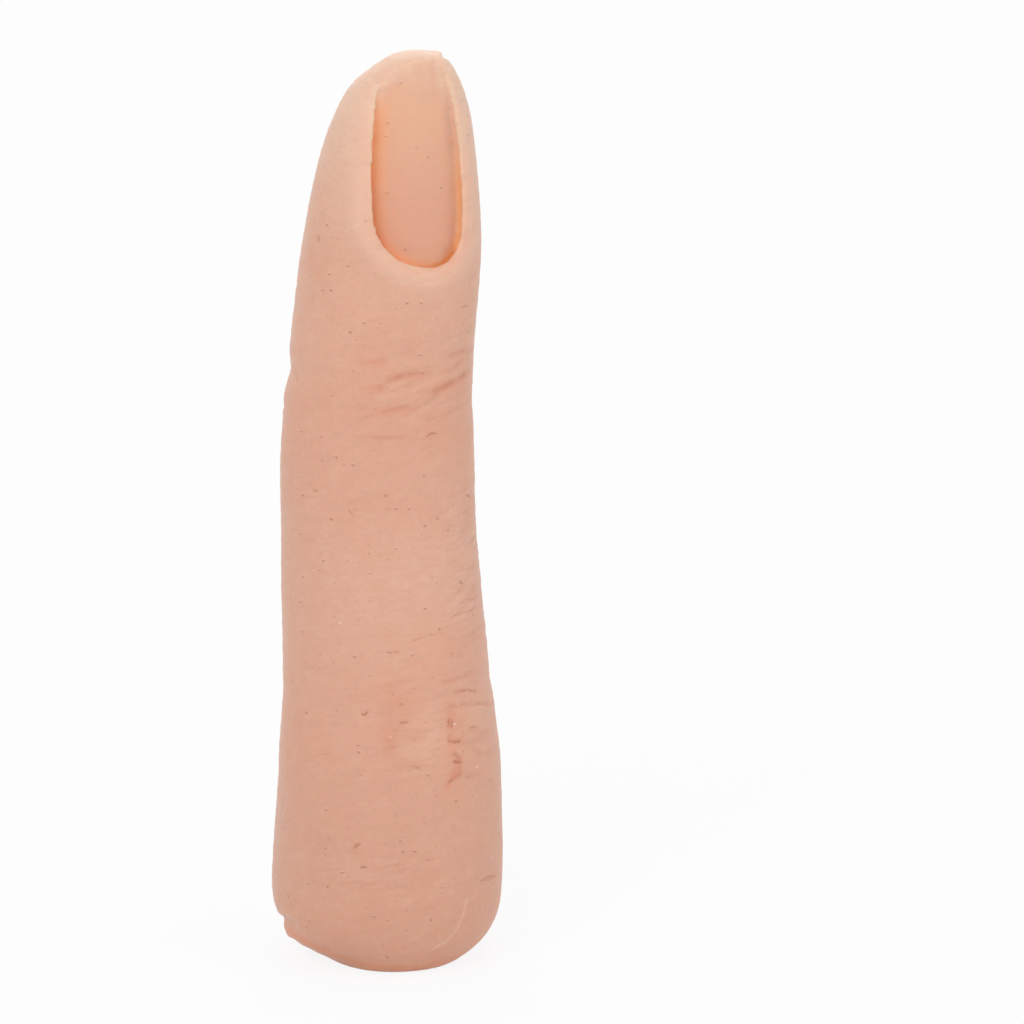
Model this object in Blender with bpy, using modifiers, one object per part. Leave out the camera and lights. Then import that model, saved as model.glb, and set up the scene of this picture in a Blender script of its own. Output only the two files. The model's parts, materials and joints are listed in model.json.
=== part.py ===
"""A nail practice finger: a life-size silicone finger that stands on its cut base.

The nail faces -Y, the palm side faces +Y and the fingertip points up. The silicone is cut at
its two knuckles into three pieces, each ending in a round face about the knuckle's axis. A
posable core of wire, plastic bones and an anchor plate runs up the middle. Lengths are metres.
"""

from math import atan2, copysign, cos, pi, radians, sin

import bmesh
import bpy
from mathutils import Matrix, Vector

# Lengths of the three finger segments, from the cut base up
PROXIMAL_LENGTH = 0.0175
MIDDLE_LENGTH = 0.0280
DISTAL_LENGTH = 0.0301

# Silicone at the base
BASE_WIDTH = 0.0188
BASE_BACK = 0.0086
BASE_PALM = 0.0090

# Silicone at the middle knuckle (PIP)
PIP_WIDTH = 0.0179
PIP_BACK = 0.0082
PIP_PALM = 0.0070

# Silicone half way along the middle segment
MIDDLE_WIDTH = 0.0163
MIDDLE_BACK = 0.0071
MIDDLE_PALM = 0.0078

# Silicone at the end knuckle (DIP)
DIP_WIDTH = 0.0153
DIP_BACK = 0.0064
DIP_PALM = 0.0056

# Silicone at the finger pad
PAD_WIDTH = 0.0150
PAD_BACK = 0.0063
PAD_PALM = 0.0069

# How far the fingertip leans to +X
LEAN = 0.0019

# How far the round face of a knuckle stands past the skin on the nail side
KNUCKLE_RELIEF = 0.0001

# Nail slot: the opening, the groove under its edges, and the curved bed
NAIL_LENGTH = 0.0176
NAIL_WIDTH = 0.0076
GROOVE_DEPTH = 0.0009
GROOVE_HEIGHT = 0.0008
BED_RADIUS = 0.0065
BED_DEPTH_AT_CUTICLE = 0.0013
BED_DEPTH_AT_TIP = 0.0029

# Core: wire, bones, anchor plate and tip cap
WIRE_DIAMETER = 0.0024
WIRE_JOINT_GAP = 0.0003
BONE_DIAMETER = 0.0054
BONE_EDGE = 0.0004
BONE_STANDOFF = 0.0030
TIP_BONE_LENGTH = 0.0150
PLATE_DIAMETER = 0.0120
PLATE_THICKNESS = 0.0012
CAP_DIAMETER = 0.0046
CAP_HEIGHT = 0.0030
CAP_WALL = 0.0008

# Gap between two pieces that touch, and what a cut runs past the piece that it cuts
CLEARANCE = 0.0003
OVERRUN = 0.0020

# Points closer than this are one point
WELD_DISTANCE = 0.00001

# Least wall of silicone between a bone's end and a socket
SOCKET_FLOOR = 0.0010

# Height of the anchor plate, and of the hub on it, in the silicone under the lowest socket
PLATE_HEIGHT_SHARE = 0.22
HUB_HEIGHT_SHARE = 0.14

SKIN_SIDES = 20
ROUND_SIDES = 32
KNUCKLE_SIDES = 72

# How square the finger's section is, where 2 is an ellipse
SQUARENESS = 2.15

SHARP_ANGLE = radians(40)

PIP_HEIGHT = PROXIMAL_LENGTH
DIP_HEIGHT = PROXIMAL_LENGTH + MIDDLE_LENGTH
FINGER_HEIGHT = DIP_HEIGHT + DISTAL_LENGTH
PIP_RADIUS = PIP_BACK + KNUCKLE_RELIEF
DIP_RADIUS = DIP_BACK + KNUCKLE_RELIEF
CUTICLE_HEIGHT = FINGER_HEIGHT - NAIL_LENGTH

# Rows of skin rings. Each row gives shares of its segment's length, width, depth to the nail
# side and depth to the palm side, and then of the fingertip's lean.
BASE_SKIN_SHARES = (
    (0.00, 0.50, 0.55, 0.54, 0.00),
    (0.00, 0.60, 0.65, 0.64, 0.00),
    (0.05, 0.75, 0.78, 0.77, 0.04),
    (0.11, 0.87, 0.90, 0.89, 0.04),
    (0.20, 0.96, 0.97, 0.96, 0.00),
    (0.30, 0.995, 1.00, 0.99, -0.06),
    (0.46, 1.00, 1.00, 1.00, 0.00),
    (0.62, 0.99, 0.99, 0.98, 0.00),
    (0.77, 0.975, 0.975, 0.90, 0.00),
)
PIP_SKIN_SHARES = ((0.00, 1.00, 1.00, 1.00, 0.00),)
MIDDLE_SKIN_SHARES = (
    (0.10, 1.07, 1.11, 0.92, -0.03),
    (0.21, 1.04, 1.06, 0.98, -0.08),
    (0.36, 1.01, 1.01, 1.01, -0.16),
    (0.50, 0.99, 0.99, 1.00, -0.24),
    (0.64, 0.97, 0.97, 0.96, -0.34),
    (0.77, 0.965, 0.95, 0.88, -0.44),
    (0.89, 0.95, 0.92, 0.78, -0.48),
)
DIP_SKIN_SHARES = ((0.00, 1.00, 1.00, 1.00, -0.48),)
DISTAL_SKIN_SHARES = (
    (0.09, 1.00, 1.00, 0.85, -0.38),
    (0.20, 1.00, 1.00, 0.94, -0.20),
    (0.31, 1.00, 1.00, 1.00, 0.00),
    (0.41, 1.00, 1.01, 1.00, 0.09),
    (0.50, 0.98, 1.00, 0.97, 0.16),
    (0.60, 0.935, 0.97, 0.89, 0.24),
    (0.70, 0.86, 0.92, 0.77, 0.37),
    (0.79, 0.80, 0.86, 0.63, 0.46),
    (0.87, 0.72, 0.79, 0.47, 0.56),
    (0.93, 0.62, 0.73, 0.31, 0.70),
    (0.975, 0.50, 0.66, 0.14, 0.86),
    (1.00, 0.32, 0.57, -0.06, 1.00),
)

# Half of the nail's opening, from the cuticle's middle to the tip: shares of the nail's length
# and of half its width, and how far the groove under the edge has its full depth
NAIL_OUTLINE_SHARES = (
    (0.00, 0.00, 1.00),
    (0.012, 0.34, 1.00),
    (0.055, 0.66, 1.00),
    (0.13, 0.86, 1.00),
    (0.24, 0.96, 1.00),
    (0.38, 1.00, 1.00),
    (0.54, 0.99, 0.85),
    (0.70, 0.94, 0.50),
    (0.84, 0.86, 0.15),
    (1.00, 0.75, 0.00),
)

# Colours as linear RGB
SILICONE_COLOUR = (0.73, 0.40, 0.29, 1.0)
BONE_COLOUR = (0.80, 0.78, 0.70, 1.0)
WIRE_COLOUR = (0.77, 0.78, 0.80, 1.0)
PLATE_COLOUR = (0.55, 0.56, 0.58, 1.0)
CAP_COLOUR = (0.05, 0.05, 0.055, 1.0)


# Scene and collections
def empty_scene():
    for item in list(bpy.data.objects):
        bpy.data.objects.remove(item, do_unlink=True)


def new_collection(name):
    collection = bpy.data.collections.new(name)
    bpy.context.scene.collection.children.link(collection)
    return collection


def material(name, colour, roughness, metallic=0.0):
    result = bpy.data.materials.new(name)
    result.use_nodes = True
    shader = result.node_tree.nodes["Principled BSDF"]
    shader.inputs["Base Color"].default_value = colour
    shader.inputs["Roughness"].default_value = roughness
    shader.inputs["Metallic"].default_value = metallic
    result.diffuse_color = colour
    return result


def new_object(name, mesh, collection, finish=None):
    item = bpy.data.objects.new(name, mesh)
    collection.objects.link(item)
    if finish is not None:
        mesh.materials.append(finish)
    return item


def as_cutter(item):
    item.hide_render = True
    item.display_type = "WIRE"
    return item


def add_boolean(item, tool, operation):
    step = item.modifiers.new(tool.name, "BOOLEAN")
    step.operation = operation
    step.solver = "EXACT"
    step.object = tool


def smooth_shading(mesh):
    mesh.shade_smooth()
    mesh.set_sharp_from_angle(angle=SHARP_ANGLE)


# The finger's skin
def on_axis(share):
    return copysign(abs(share) ** (2 / SQUARENESS), share)


def skin_regions():
    """Start height, length, width, nail side and palm side of each region, and its rings."""
    return (
        (0, PROXIMAL_LENGTH, BASE_WIDTH, BASE_BACK, BASE_PALM, BASE_SKIN_SHARES),
        (PIP_HEIGHT, MIDDLE_LENGTH, PIP_WIDTH, PIP_BACK, PIP_PALM, PIP_SKIN_SHARES),
        (PIP_HEIGHT, MIDDLE_LENGTH, MIDDLE_WIDTH, MIDDLE_BACK, MIDDLE_PALM, MIDDLE_SKIN_SHARES),
        (DIP_HEIGHT, DISTAL_LENGTH, DIP_WIDTH, DIP_BACK, DIP_PALM, DIP_SKIN_SHARES),
        (DIP_HEIGHT, DISTAL_LENGTH, PAD_WIDTH, PAD_BACK, PAD_PALM, DISTAL_SKIN_SHARES),
    )


def skin_ring(height, width, back, palm, lean):
    """One ring of the cage, a little large, because the subdivision draws it in."""
    swell = 1 / cos(pi / SKIN_SIDES)
    middle = (palm - back) / 2
    reach = (palm + back) / 2
    points = []
    for side in range(SKIN_SIDES):
        angle = 2 * pi * side / SKIN_SIDES
        across = on_axis(cos(angle)) * swell * width / 2
        along = on_axis(sin(angle)) * swell * reach
        points.append(Vector((lean + across, middle + along, height)))
    return points


def skin_mesh():
    """The whole finger as a coarse cage of rings, which all three silicone pieces share."""
    rings = []
    for start, length, width, back, palm, rows in skin_regions():
        for height_share, width_share, back_share, palm_share, lean_share in rows:
            rings.append(skin_ring(
                start + length * height_share,
                width * width_share,
                back * back_share,
                palm * palm_share,
                LEAN * lean_share,
            ))
    shape = bmesh.new()
    loops = [[shape.verts.new(point) for point in ring] for ring in rings]
    for lower, upper in zip(loops, loops[1:]):
        for side in range(SKIN_SIDES):
            after = (side + 1) % SKIN_SIDES
            shape.faces.new((lower[side], lower[after], upper[after], upper[side]))
    shape.faces.new(tuple(reversed(loops[0])))
    shape.faces.new(loops[-1])
    mesh = bpy.data.meshes.new("finger_skin")
    shape.to_mesh(mesh)
    shape.free()
    smooth_shading(mesh)
    return mesh


def silicone_piece(name, mesh, collection):
    item = new_object(name, mesh, collection)
    rounding = item.modifiers.new("soft skin", "SUBSURF")
    rounding.levels = 1
    rounding.render_levels = 1
    return item


# Cutters at the knuckles
def cylinder_mesh(name, radius, length, turn, place, sides=ROUND_SIDES):
    shape = bmesh.new()
    bmesh.ops.create_cone(
        shape,
        cap_ends=True,
        segments=sides,
        radius1=radius,
        radius2=radius,
        depth=length,
        matrix=Matrix.Translation(place) @ turn,
    )
    mesh = bpy.data.meshes.new(name)
    shape.to_mesh(mesh)
    shape.free()
    return mesh


def block_mesh(name, size, place):
    shape = bmesh.new()
    bmesh.ops.create_cube(shape, matrix=Matrix.Translation(place) @ Matrix.Diagonal((*size, 1)))
    mesh = bpy.data.meshes.new(name)
    shape.to_mesh(mesh)
    shape.free()
    return mesh


def knuckle_cylinder(name, radius, height, cutters):
    """A round bar along the knuckle's X axis, wider than the finger."""
    mesh = cylinder_mesh(
        name,
        radius,
        2 * BASE_WIDTH,
        Matrix.Rotation(pi / 2, 4, "Y"),
        Vector((0, 0, height)),
        KNUCKLE_SIDES,
    )
    return as_cutter(new_object(name, mesh, cutters))


def half_space(name, height, upward, cutters):
    """A block over or under a knuckle's axis that reaches past the end of the finger."""
    tall = FINGER_HEIGHT + OVERRUN
    middle = height + tall / 2 if upward else height - tall / 2
    size = Vector((2 * BASE_WIDTH, 2 * BASE_WIDTH, tall))
    mesh = block_mesh(name, size, Vector((0, 0, middle)))
    return as_cutter(new_object(name, mesh, cutters))


def socket_cutter(knuckle, radius, height, cutters):
    """All above the knuckle, and the round socket that the upper piece turns in."""
    cutter = half_space(f"above_{knuckle}", height, True, cutters)
    bar = knuckle_cylinder(f"socket_{knuckle}", radius + CLEARANCE, height, cutters)
    add_boolean(cutter, bar, "UNION")
    return cutter


def ball_cutter(knuckle, radius, height, cutters):
    """All below the knuckle but the round end that turns in the socket."""
    cutter = half_space(f"below_{knuckle}", height, False, cutters)
    bar = knuckle_cylinder(f"ball_{knuckle}", radius, height, cutters)
    add_boolean(cutter, bar, "DIFFERENCE")
    return cutter


# Turned pieces and bores
def turned_object(name, profile, collection, finish=None):
    """A profile of (radius, height) points, from the top down, turned about the core's line."""
    mesh = bpy.data.meshes.new(name)
    points = [(radius, 0, height) for radius, height in profile]
    edges = [(index, index + 1) for index in range(len(points) - 1)]
    closed = profile[0][0] > 0
    if closed:
        edges.append((len(points) - 1, 0))
    mesh.from_pydata(points, edges, [])
    item = new_object(name, mesh, collection, finish)
    turning = item.modifiers.new("turned", "SCREW")
    turning.axis = "Z"
    turning.angle = 2 * pi
    turning.steps = ROUND_SIDES
    turning.render_steps = ROUND_SIDES
    turning.use_merge_vertices = True
    turning.merge_threshold = WELD_DISTANCE
    return item


def bone_profile(low, high):
    """A tube with eased edges that the wire runs through."""
    outer = BONE_DIAMETER / 2
    bore = WIRE_DIAMETER / 2 + CLEARANCE
    return (
        (bore, high),
        (outer - BONE_EDGE, high),
        (outer, high - BONE_EDGE),
        (outer, low + BONE_EDGE),
        (outer - BONE_EDGE, low),
        (bore, low),
    )


def wire_object(name, low, high, collection, finish):
    """A straight round wire, a tube curve between two heights on the core's line."""
    curve = bpy.data.curves.new(name, "CURVE")
    curve.dimensions = "3D"
    curve.bevel_depth = WIRE_DIAMETER / 2
    curve.bevel_resolution = 4
    curve.use_fill_caps = True
    spline = curve.splines.new("POLY")
    spline.points.add(1)
    spline.points[0].co = (0, 0, low, 1)
    spline.points[1].co = (0, 0, high, 1)
    return new_object(name, curve, collection, finish)


# Heights of the core's pieces
BASE_BONE_HIGH = PIP_HEIGHT - PIP_RADIUS - CLEARANCE - SOCKET_FLOOR
PLATE_HEIGHT = BASE_BONE_HIGH * PLATE_HEIGHT_SHARE
PLATE_TOP = PLATE_HEIGHT + PLATE_THICKNESS
HUB_TOP = PLATE_TOP + BASE_BONE_HIGH * HUB_HEIGHT_SHARE
BASE_BONE_LOW = HUB_TOP + CLEARANCE
MIDDLE_BONE_LOW = PIP_HEIGHT + BONE_STANDOFF
MIDDLE_BONE_HIGH = DIP_HEIGHT - DIP_RADIUS - CLEARANCE - SOCKET_FLOOR
TIP_BONE_LOW = DIP_HEIGHT + BONE_STANDOFF
TIP_BONE_HIGH = TIP_BONE_LOW + TIP_BONE_LENGTH
WIRE_LOW = PLATE_HEIGHT
WIRE_MEETING = (MIDDLE_BONE_LOW + MIDDLE_BONE_HIGH) / 2
CAP_LOW = TIP_BONE_HIGH + CLEARANCE
CAP_TOP = CAP_LOW + CAP_HEIGHT
WIRE_HIGH = CAP_TOP - CAP_WALL - CLEARANCE


def plate_profile():
    """A round plate with a hub, bored for the wire."""
    bore = WIRE_DIAMETER / 2 + CLEARANCE
    hub = BONE_DIAMETER / 2
    outer = PLATE_DIAMETER / 2
    edge = PLATE_THICKNESS / 4
    return (
        (bore, HUB_TOP),
        (hub, HUB_TOP),
        (hub, PLATE_TOP),
        (outer - edge, PLATE_TOP),
        (outer, PLATE_TOP - edge),
        (outer, PLATE_HEIGHT + edge),
        (outer - edge, PLATE_HEIGHT),
        (bore, PLATE_HEIGHT),
    )


def cap_profile():
    """A round-topped cap, open below, that covers the wire's sharp end."""
    outer = CAP_DIAMETER / 2
    bore = WIRE_DIAMETER / 2 + CLEARANCE
    shoulder = CAP_TOP - outer / 2
    dome = [
        (outer * sin(pi / 2 * step / 4), shoulder + outer / 2 * cos(pi / 2 * step / 4))
        for step in range(5)
    ]
    return (
        *dome,
        (outer, CAP_LOW),
        (bore, CAP_LOW),
        (bore, WIRE_HIGH + CLEARANCE),
        (0, WIRE_HIGH + CLEARANCE),
    )


def bore_profile(steps):
    """A stepped bore, closed at both ends, from (radius, low, high) steps, top to bottom."""
    points = [(0, steps[0][2])]
    for radius, low, high in steps:
        points.append((radius, high))
        points.append((radius, low))
    points.append((0, steps[-1][1]))
    return tuple(points)


def core_bores(cutters):
    """What the core takes out of each silicone piece, with the clearance round it."""
    wire = WIRE_DIAMETER / 2 + CLEARANCE
    bone = BONE_DIAMETER / 2 + CLEARANCE
    plate = PLATE_DIAMETER / 2 + CLEARANCE
    cap = CAP_DIAMETER / 2 + CLEARANCE
    base = (
        (wire, BASE_BONE_HIGH + CLEARANCE, PIP_HEIGHT),
        (bone, PLATE_TOP + CLEARANCE, BASE_BONE_HIGH + CLEARANCE),
        (plate, PLATE_HEIGHT - CLEARANCE, PLATE_TOP + CLEARANCE),
    )
    middle = (
        (wire, MIDDLE_BONE_HIGH + CLEARANCE, DIP_HEIGHT),
        (bone, MIDDLE_BONE_LOW - CLEARANCE, MIDDLE_BONE_HIGH + CLEARANCE),
        (wire, PIP_HEIGHT - PIP_RADIUS - OVERRUN, MIDDLE_BONE_LOW - CLEARANCE),
    )
    tip = (
        (cap, TIP_BONE_HIGH + CLEARANCE, CAP_TOP + CLEARANCE),
        (bone, TIP_BONE_LOW - CLEARANCE, TIP_BONE_HIGH + CLEARANCE),
        (wire, DIP_HEIGHT - DIP_RADIUS - OVERRUN, TIP_BONE_LOW - CLEARANCE),
    )
    return [
        as_cutter(turned_object(f"core_bore_{name}", bore_profile(steps), cutters))
        for name, steps in (("base", base), ("middle", middle), ("tip", tip))
    ]


# The nail slot
def distal_lean(height):
    """How far the end segment's skin leans to +X at a height, read between its rings."""
    share = (height - DIP_HEIGHT) / DISTAL_LENGTH
    rows = DISTAL_SKIN_SHARES
    for lower, upper in zip(rows, rows[1:]):
        if share <= upper[0]:
            along = (share - lower[0]) / (upper[0] - lower[0])
            return LEAN * (lower[4] + along * (upper[4] - lower[4]))
    return LEAN * rows[-1][4]


def nail_frame():
    """Place and turn of the nail bed: +Z runs up the nail and -Y looks out of it."""
    bed_at_cuticle = -(PAD_BACK - BED_DEPTH_AT_CUTICLE)
    bed_at_tip = -(PAD_BACK - BED_DEPTH_AT_TIP)
    tilt = atan2(bed_at_tip - bed_at_cuticle, NAIL_LENGTH)
    cuticle_lean = distal_lean(CUTICLE_HEIGHT)
    swing = atan2(distal_lean(FINGER_HEIGHT) - cuticle_lean, NAIL_LENGTH)
    turn = Matrix.Rotation(swing, 4, "Y") @ Matrix.Rotation(-tilt, 4, "X")
    return Matrix.Translation((cuticle_lean, bed_at_cuticle, CUTICLE_HEIGHT)) @ turn


def nail_outline(groove):
    """The U of the nail in its own plane, wider by the groove's depth where that is given."""
    half = []
    for along_share, across_share, groove_share in NAIL_OUTLINE_SHARES:
        across = across_share * (NAIL_WIDTH / 2 + groove * groove_share)
        along = along_share * NAIL_LENGTH - groove * groove_share * (1 - along_share)
        half.append((across, along))
    half.append((half[-1][0], NAIL_LENGTH + OVERRUN))
    return half + [(-across, along) for across, along in reversed(half[1:])]


def outline_prism(name, points, depth, cutters):
    """A flat outline as a filled curve, thickened, and made a mesh so that it can cut."""
    curve = bpy.data.curves.new(name, "CURVE")
    curve.dimensions = "2D"
    curve.fill_mode = "BOTH"
    curve.extrude = depth / 2
    spline = curve.splines.new("POLY")
    spline.points.add(len(points) - 1)
    for point, (across, along) in zip(spline.points, points):
        point.co = (across, along, 0, 1)
    spline.use_cyclic_u = True
    drawn = new_object(f"{name}_curve", curve, cutters)
    bpy.context.view_layer.update()
    graph = bpy.context.evaluated_depsgraph_get()
    mesh = bpy.data.meshes.new_from_object(drawn.evaluated_get(graph))
    bpy.data.objects.remove(drawn, do_unlink=True)
    shape = bmesh.new()
    shape.from_mesh(mesh)
    bmesh.ops.remove_doubles(shape, verts=shape.verts, dist=WELD_DISTANCE)
    bmesh.ops.recalc_face_normals(shape, faces=shape.faces)
    shape.to_mesh(mesh)
    shape.free()
    item = as_cutter(new_object(name, mesh, cutters))
    item.matrix_world = nail_frame() @ Matrix.Rotation(pi / 2, 4, "X")
    return item


def bed_cylinder(name, radius, cutters):
    """The round of the nail bed, its top line on the nail frame's own line."""
    length = 2 * (NAIL_LENGTH + OVERRUN)
    centre = Vector((0, BED_RADIUS, 0))
    mesh = cylinder_mesh(name, radius, length, Matrix(), centre, KNUCKLE_SIDES)
    item = as_cutter(new_object(name, mesh, cutters))
    item.matrix_world = nail_frame()
    return item


def nail_cutter(cutters):
    """The open recess over the bed, and the slot that runs under its edges."""
    bed = bed_cylinder("nail_bed", BED_RADIUS, cutters)
    roof = bed_cylinder("groove_roof", BED_RADIUS + GROOVE_HEIGHT, cutters)
    depth = 2 * (PAD_BACK + OVERRUN)
    groove = outline_prism("nail_groove", nail_outline(GROOVE_DEPTH), depth, cutters)
    add_boolean(groove, roof, "INTERSECT")
    cutter = outline_prism("nail_opening", nail_outline(0), depth, cutters)
    add_boolean(cutter, groove, "UNION")
    add_boolean(cutter, bed, "DIFFERENCE")
    return cutter


# Pieces
def build_silicone(parts, cutters):
    finish = material("silicone", SILICONE_COLOUR, 0.48)
    skin = skin_mesh()
    skin.materials.append(finish)
    base = silicone_piece("base_flesh", skin, parts)
    middle = silicone_piece("middle_flesh", skin, parts)
    tip = silicone_piece("tip_flesh", skin, parts)
    base_bore, middle_bore, tip_bore = core_bores(cutters)
    add_boolean(base, socket_cutter("pip", PIP_RADIUS, PIP_HEIGHT, cutters), "DIFFERENCE")
    add_boolean(base, base_bore, "DIFFERENCE")
    add_boolean(middle, ball_cutter("pip", PIP_RADIUS, PIP_HEIGHT, cutters), "DIFFERENCE")
    add_boolean(middle, socket_cutter("dip", DIP_RADIUS, DIP_HEIGHT, cutters), "DIFFERENCE")
    add_boolean(middle, middle_bore, "DIFFERENCE")
    add_boolean(tip, ball_cutter("dip", DIP_RADIUS, DIP_HEIGHT, cutters), "DIFFERENCE")
    add_boolean(tip, tip_bore, "DIFFERENCE")
    add_boolean(tip, nail_cutter(cutters), "DIFFERENCE")
    return base, middle, tip


def build_bones(parts):
    finish = material("bone_plastic", BONE_COLOUR, 0.45)
    spans = {
        "base_bone": (BASE_BONE_LOW, BASE_BONE_HIGH),
        "middle_bone": (MIDDLE_BONE_LOW, MIDDLE_BONE_HIGH),
        "tip_bone": (TIP_BONE_LOW, TIP_BONE_HIGH),
    }
    return [
        turned_object(name, bone_profile(low, high), parts, finish)
        for name, (low, high) in spans.items()
    ]


def build_wires(parts):
    finish = material("aluminium_wire", WIRE_COLOUR, 0.35, 1.0)
    lower = wire_object(
        "core_wire_lower", WIRE_LOW, WIRE_MEETING - WIRE_JOINT_GAP / 2, parts, finish
    )
    upper = wire_object(
        "core_wire_upper", WIRE_MEETING + WIRE_JOINT_GAP / 2, WIRE_HIGH, parts, finish
    )
    return lower, upper


def build_anchor_and_cap(parts):
    steel = material("anchor_steel", PLATE_COLOUR, 0.4, 1.0)
    rubber = material("cap_rubber", CAP_COLOUR, 0.6)
    plate = turned_object("anchor_plate", plate_profile(), parts, steel)
    cap = turned_object("tip_cap", cap_profile(), parts, rubber)
    return plate, cap


def knuckle_empty(name, height, above, parent=None):
    """An empty on a knuckle's axis that carries the pieces of the body that it turns."""
    pivot = bpy.data.objects.new(name, None)
    pivot.location = (0, 0, height)
    above.objects.link(pivot)
    if parent is not None:
        pivot.parent = parent
        pivot.matrix_parent_inverse = parent.matrix_world.inverted()
    bpy.context.view_layer.update()
    return pivot


def carry(pivot, pieces):
    for piece in pieces:
        piece.parent = pivot
        piece.matrix_parent_inverse = pivot.matrix_world.inverted()


def main():
    empty_scene()
    parts = new_collection("nail_practice_finger")
    cutters = new_collection("cutters")
    _, middle, tip = build_silicone(parts, cutters)
    _, middle_bone, tip_bone = build_bones(parts)
    _, upper_wire = build_wires(parts)
    _, cap = build_anchor_and_cap(parts)
    pip = knuckle_empty("pip_axis", PIP_HEIGHT, parts)
    dip = knuckle_empty("dip_axis", DIP_HEIGHT, parts, pip)
    carry(pip, (middle, middle_bone, upper_wire))
    carry(dip, (tip, tip_bone, cap))


main()
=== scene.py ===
import json
import math

import bpy
import numpy as np
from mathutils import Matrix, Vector
from mathutils.bvhtree import BVHTree


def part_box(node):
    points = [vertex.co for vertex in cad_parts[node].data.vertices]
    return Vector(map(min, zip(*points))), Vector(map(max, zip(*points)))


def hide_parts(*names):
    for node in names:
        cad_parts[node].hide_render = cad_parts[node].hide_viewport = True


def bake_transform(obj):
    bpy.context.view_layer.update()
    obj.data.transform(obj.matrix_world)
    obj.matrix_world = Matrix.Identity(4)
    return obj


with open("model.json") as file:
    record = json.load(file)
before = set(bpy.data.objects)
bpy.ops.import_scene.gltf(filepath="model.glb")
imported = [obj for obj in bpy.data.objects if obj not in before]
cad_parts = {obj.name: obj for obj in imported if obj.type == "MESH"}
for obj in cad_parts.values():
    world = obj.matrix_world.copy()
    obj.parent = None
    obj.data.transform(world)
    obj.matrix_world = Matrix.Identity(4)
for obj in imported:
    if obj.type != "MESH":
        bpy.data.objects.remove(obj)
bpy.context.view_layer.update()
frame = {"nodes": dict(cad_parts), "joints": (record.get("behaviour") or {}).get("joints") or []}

# Sizes read from the frame, in metres
MM = 0.001
KNUCKLE_HEIGHT = {joint["name"]: joint["pos_m"][2] for joint in frame["joints"]}
PIP_HEIGHT = KNUCKLE_HEIGHT["pip_knuckle"]
DIP_HEIGHT = KNUCKLE_HEIGHT["dip_knuckle"]
FINGER_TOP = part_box("tip_flesh")[1].z
LOWER_WIRE_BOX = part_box("core_wire_lower")
UPPER_WIRE_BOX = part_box("core_wire_upper")
WIRE_RADIUS = (LOWER_WIRE_BOX[1].x - LOWER_WIRE_BOX[0].x) / 2
SPLIT_HEIGHT = (PIP_HEIGHT + DIP_HEIGHT) / 2

# The photo's view: the camera stands to the left of the nail and a little above
CAMERA_TURN = math.radians(-15)
CAMERA_RISE = math.radians(15)
PHOTO_PIXELS = 1024
PIXELS_PER_MM = 12.37
FOOT_PIXEL = (388.0, 954.4)
LENS = 600.0
SENSOR = 36.0
CLIP_END = 10.0

VIEW_BACK = Vector((
    math.sin(CAMERA_TURN) * math.cos(CAMERA_RISE),
    -math.cos(CAMERA_TURN) * math.cos(CAMERA_RISE),
    math.sin(CAMERA_RISE),
))
VIEW_RIGHT = Vector((math.cos(CAMERA_TURN), math.sin(CAMERA_TURN), 0.0))
VIEW_UP = VIEW_BACK.cross(VIEW_RIGHT)

# Rings of the skin, from the foot up, in millimetres: height, width, depth to the nail side,
# depth to the palm side, and the lean to +X
SKIN_RINGS = (
    (0.0, 8.0, 4.7, 4.6, 0.0),
    (0.0, 10.2, 6.6, 5.6, 0.05),
    (0.6, 12.6, 7.1, 6.7, 0.15),
    (1.5, 15.4, 7.6, 7.7, 0.15),
    (2.7, 17.2, 8.1, 8.3, 0.05),
    (4.0, 18.3, 8.45, 8.7, -0.05),
    (5.6, 18.75, 8.6, 8.9, -0.1),
    (8.0, 18.8, 8.6, 9.0, 0.0),
    (10.8, 18.6, 8.5, 8.8, 0.0),
    (13.6, 18.3, 8.4, 8.1, 0.0),
    (15.6, 18.1, 8.35, 7.4, 0.0),
    (17.5, 17.9, 8.3, 6.95, -0.02),
    (19.2, 17.55, 8.15, 7.05, -0.05),
    (21.2, 17.2, 7.85, 7.35, -0.12),
    (24.0, 16.75, 7.5, 7.75, -0.2),
    (27.6, 16.4, 7.2, 7.95, -0.32),
    (31.5, 16.15, 7.0, 7.85, -0.5),
    (35.4, 15.85, 6.9, 7.5, -0.65),
    (39.1, 15.9, 6.75, 6.9, -0.9),
    (42.4, 15.75, 6.6, 6.15, -0.98),
    (45.5, 15.4, 6.45, 5.65, -0.92),
    (48.2, 15.1, 6.35, 5.9, -0.72),
    (51.5, 15.0, 6.3, 6.5, -0.4),
    (54.8, 14.85, 6.3, 6.9, 0.02),
    (57.8, 14.75, 6.35, 6.9, 0.27),
    (60.6, 14.3, 6.3, 6.65, 0.48),
    (63.6, 13.6, 6.15, 6.1, 0.58),
    (66.6, 12.55, 5.85, 5.3, 0.73),
    (69.3, 11.45, 5.5, 4.35, 0.92),
    (71.6, 10.0, 5.1, 3.25, 1.18),
    (73.4, 8.2, 4.75, 2.1, 1.4),
    (74.7, 5.8, 4.35, 0.9, 1.85),
    (75.6, 3.6, 3.9, -0.3, 2.1),
)
RING_SIDES = 24
SQUARENESS = 2.12
ROUNDING_LEVELS = 3
VOXEL = 0.17 * MM
WELD_GAP = 0.001 * MM
SKIN_SHARP_ANGLE = math.radians(75)
WIRE_SHARP_ANGLE = math.radians(50)
# Cut faces thinner than this are merged away
SLIVER = 0.04 * MM

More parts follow.
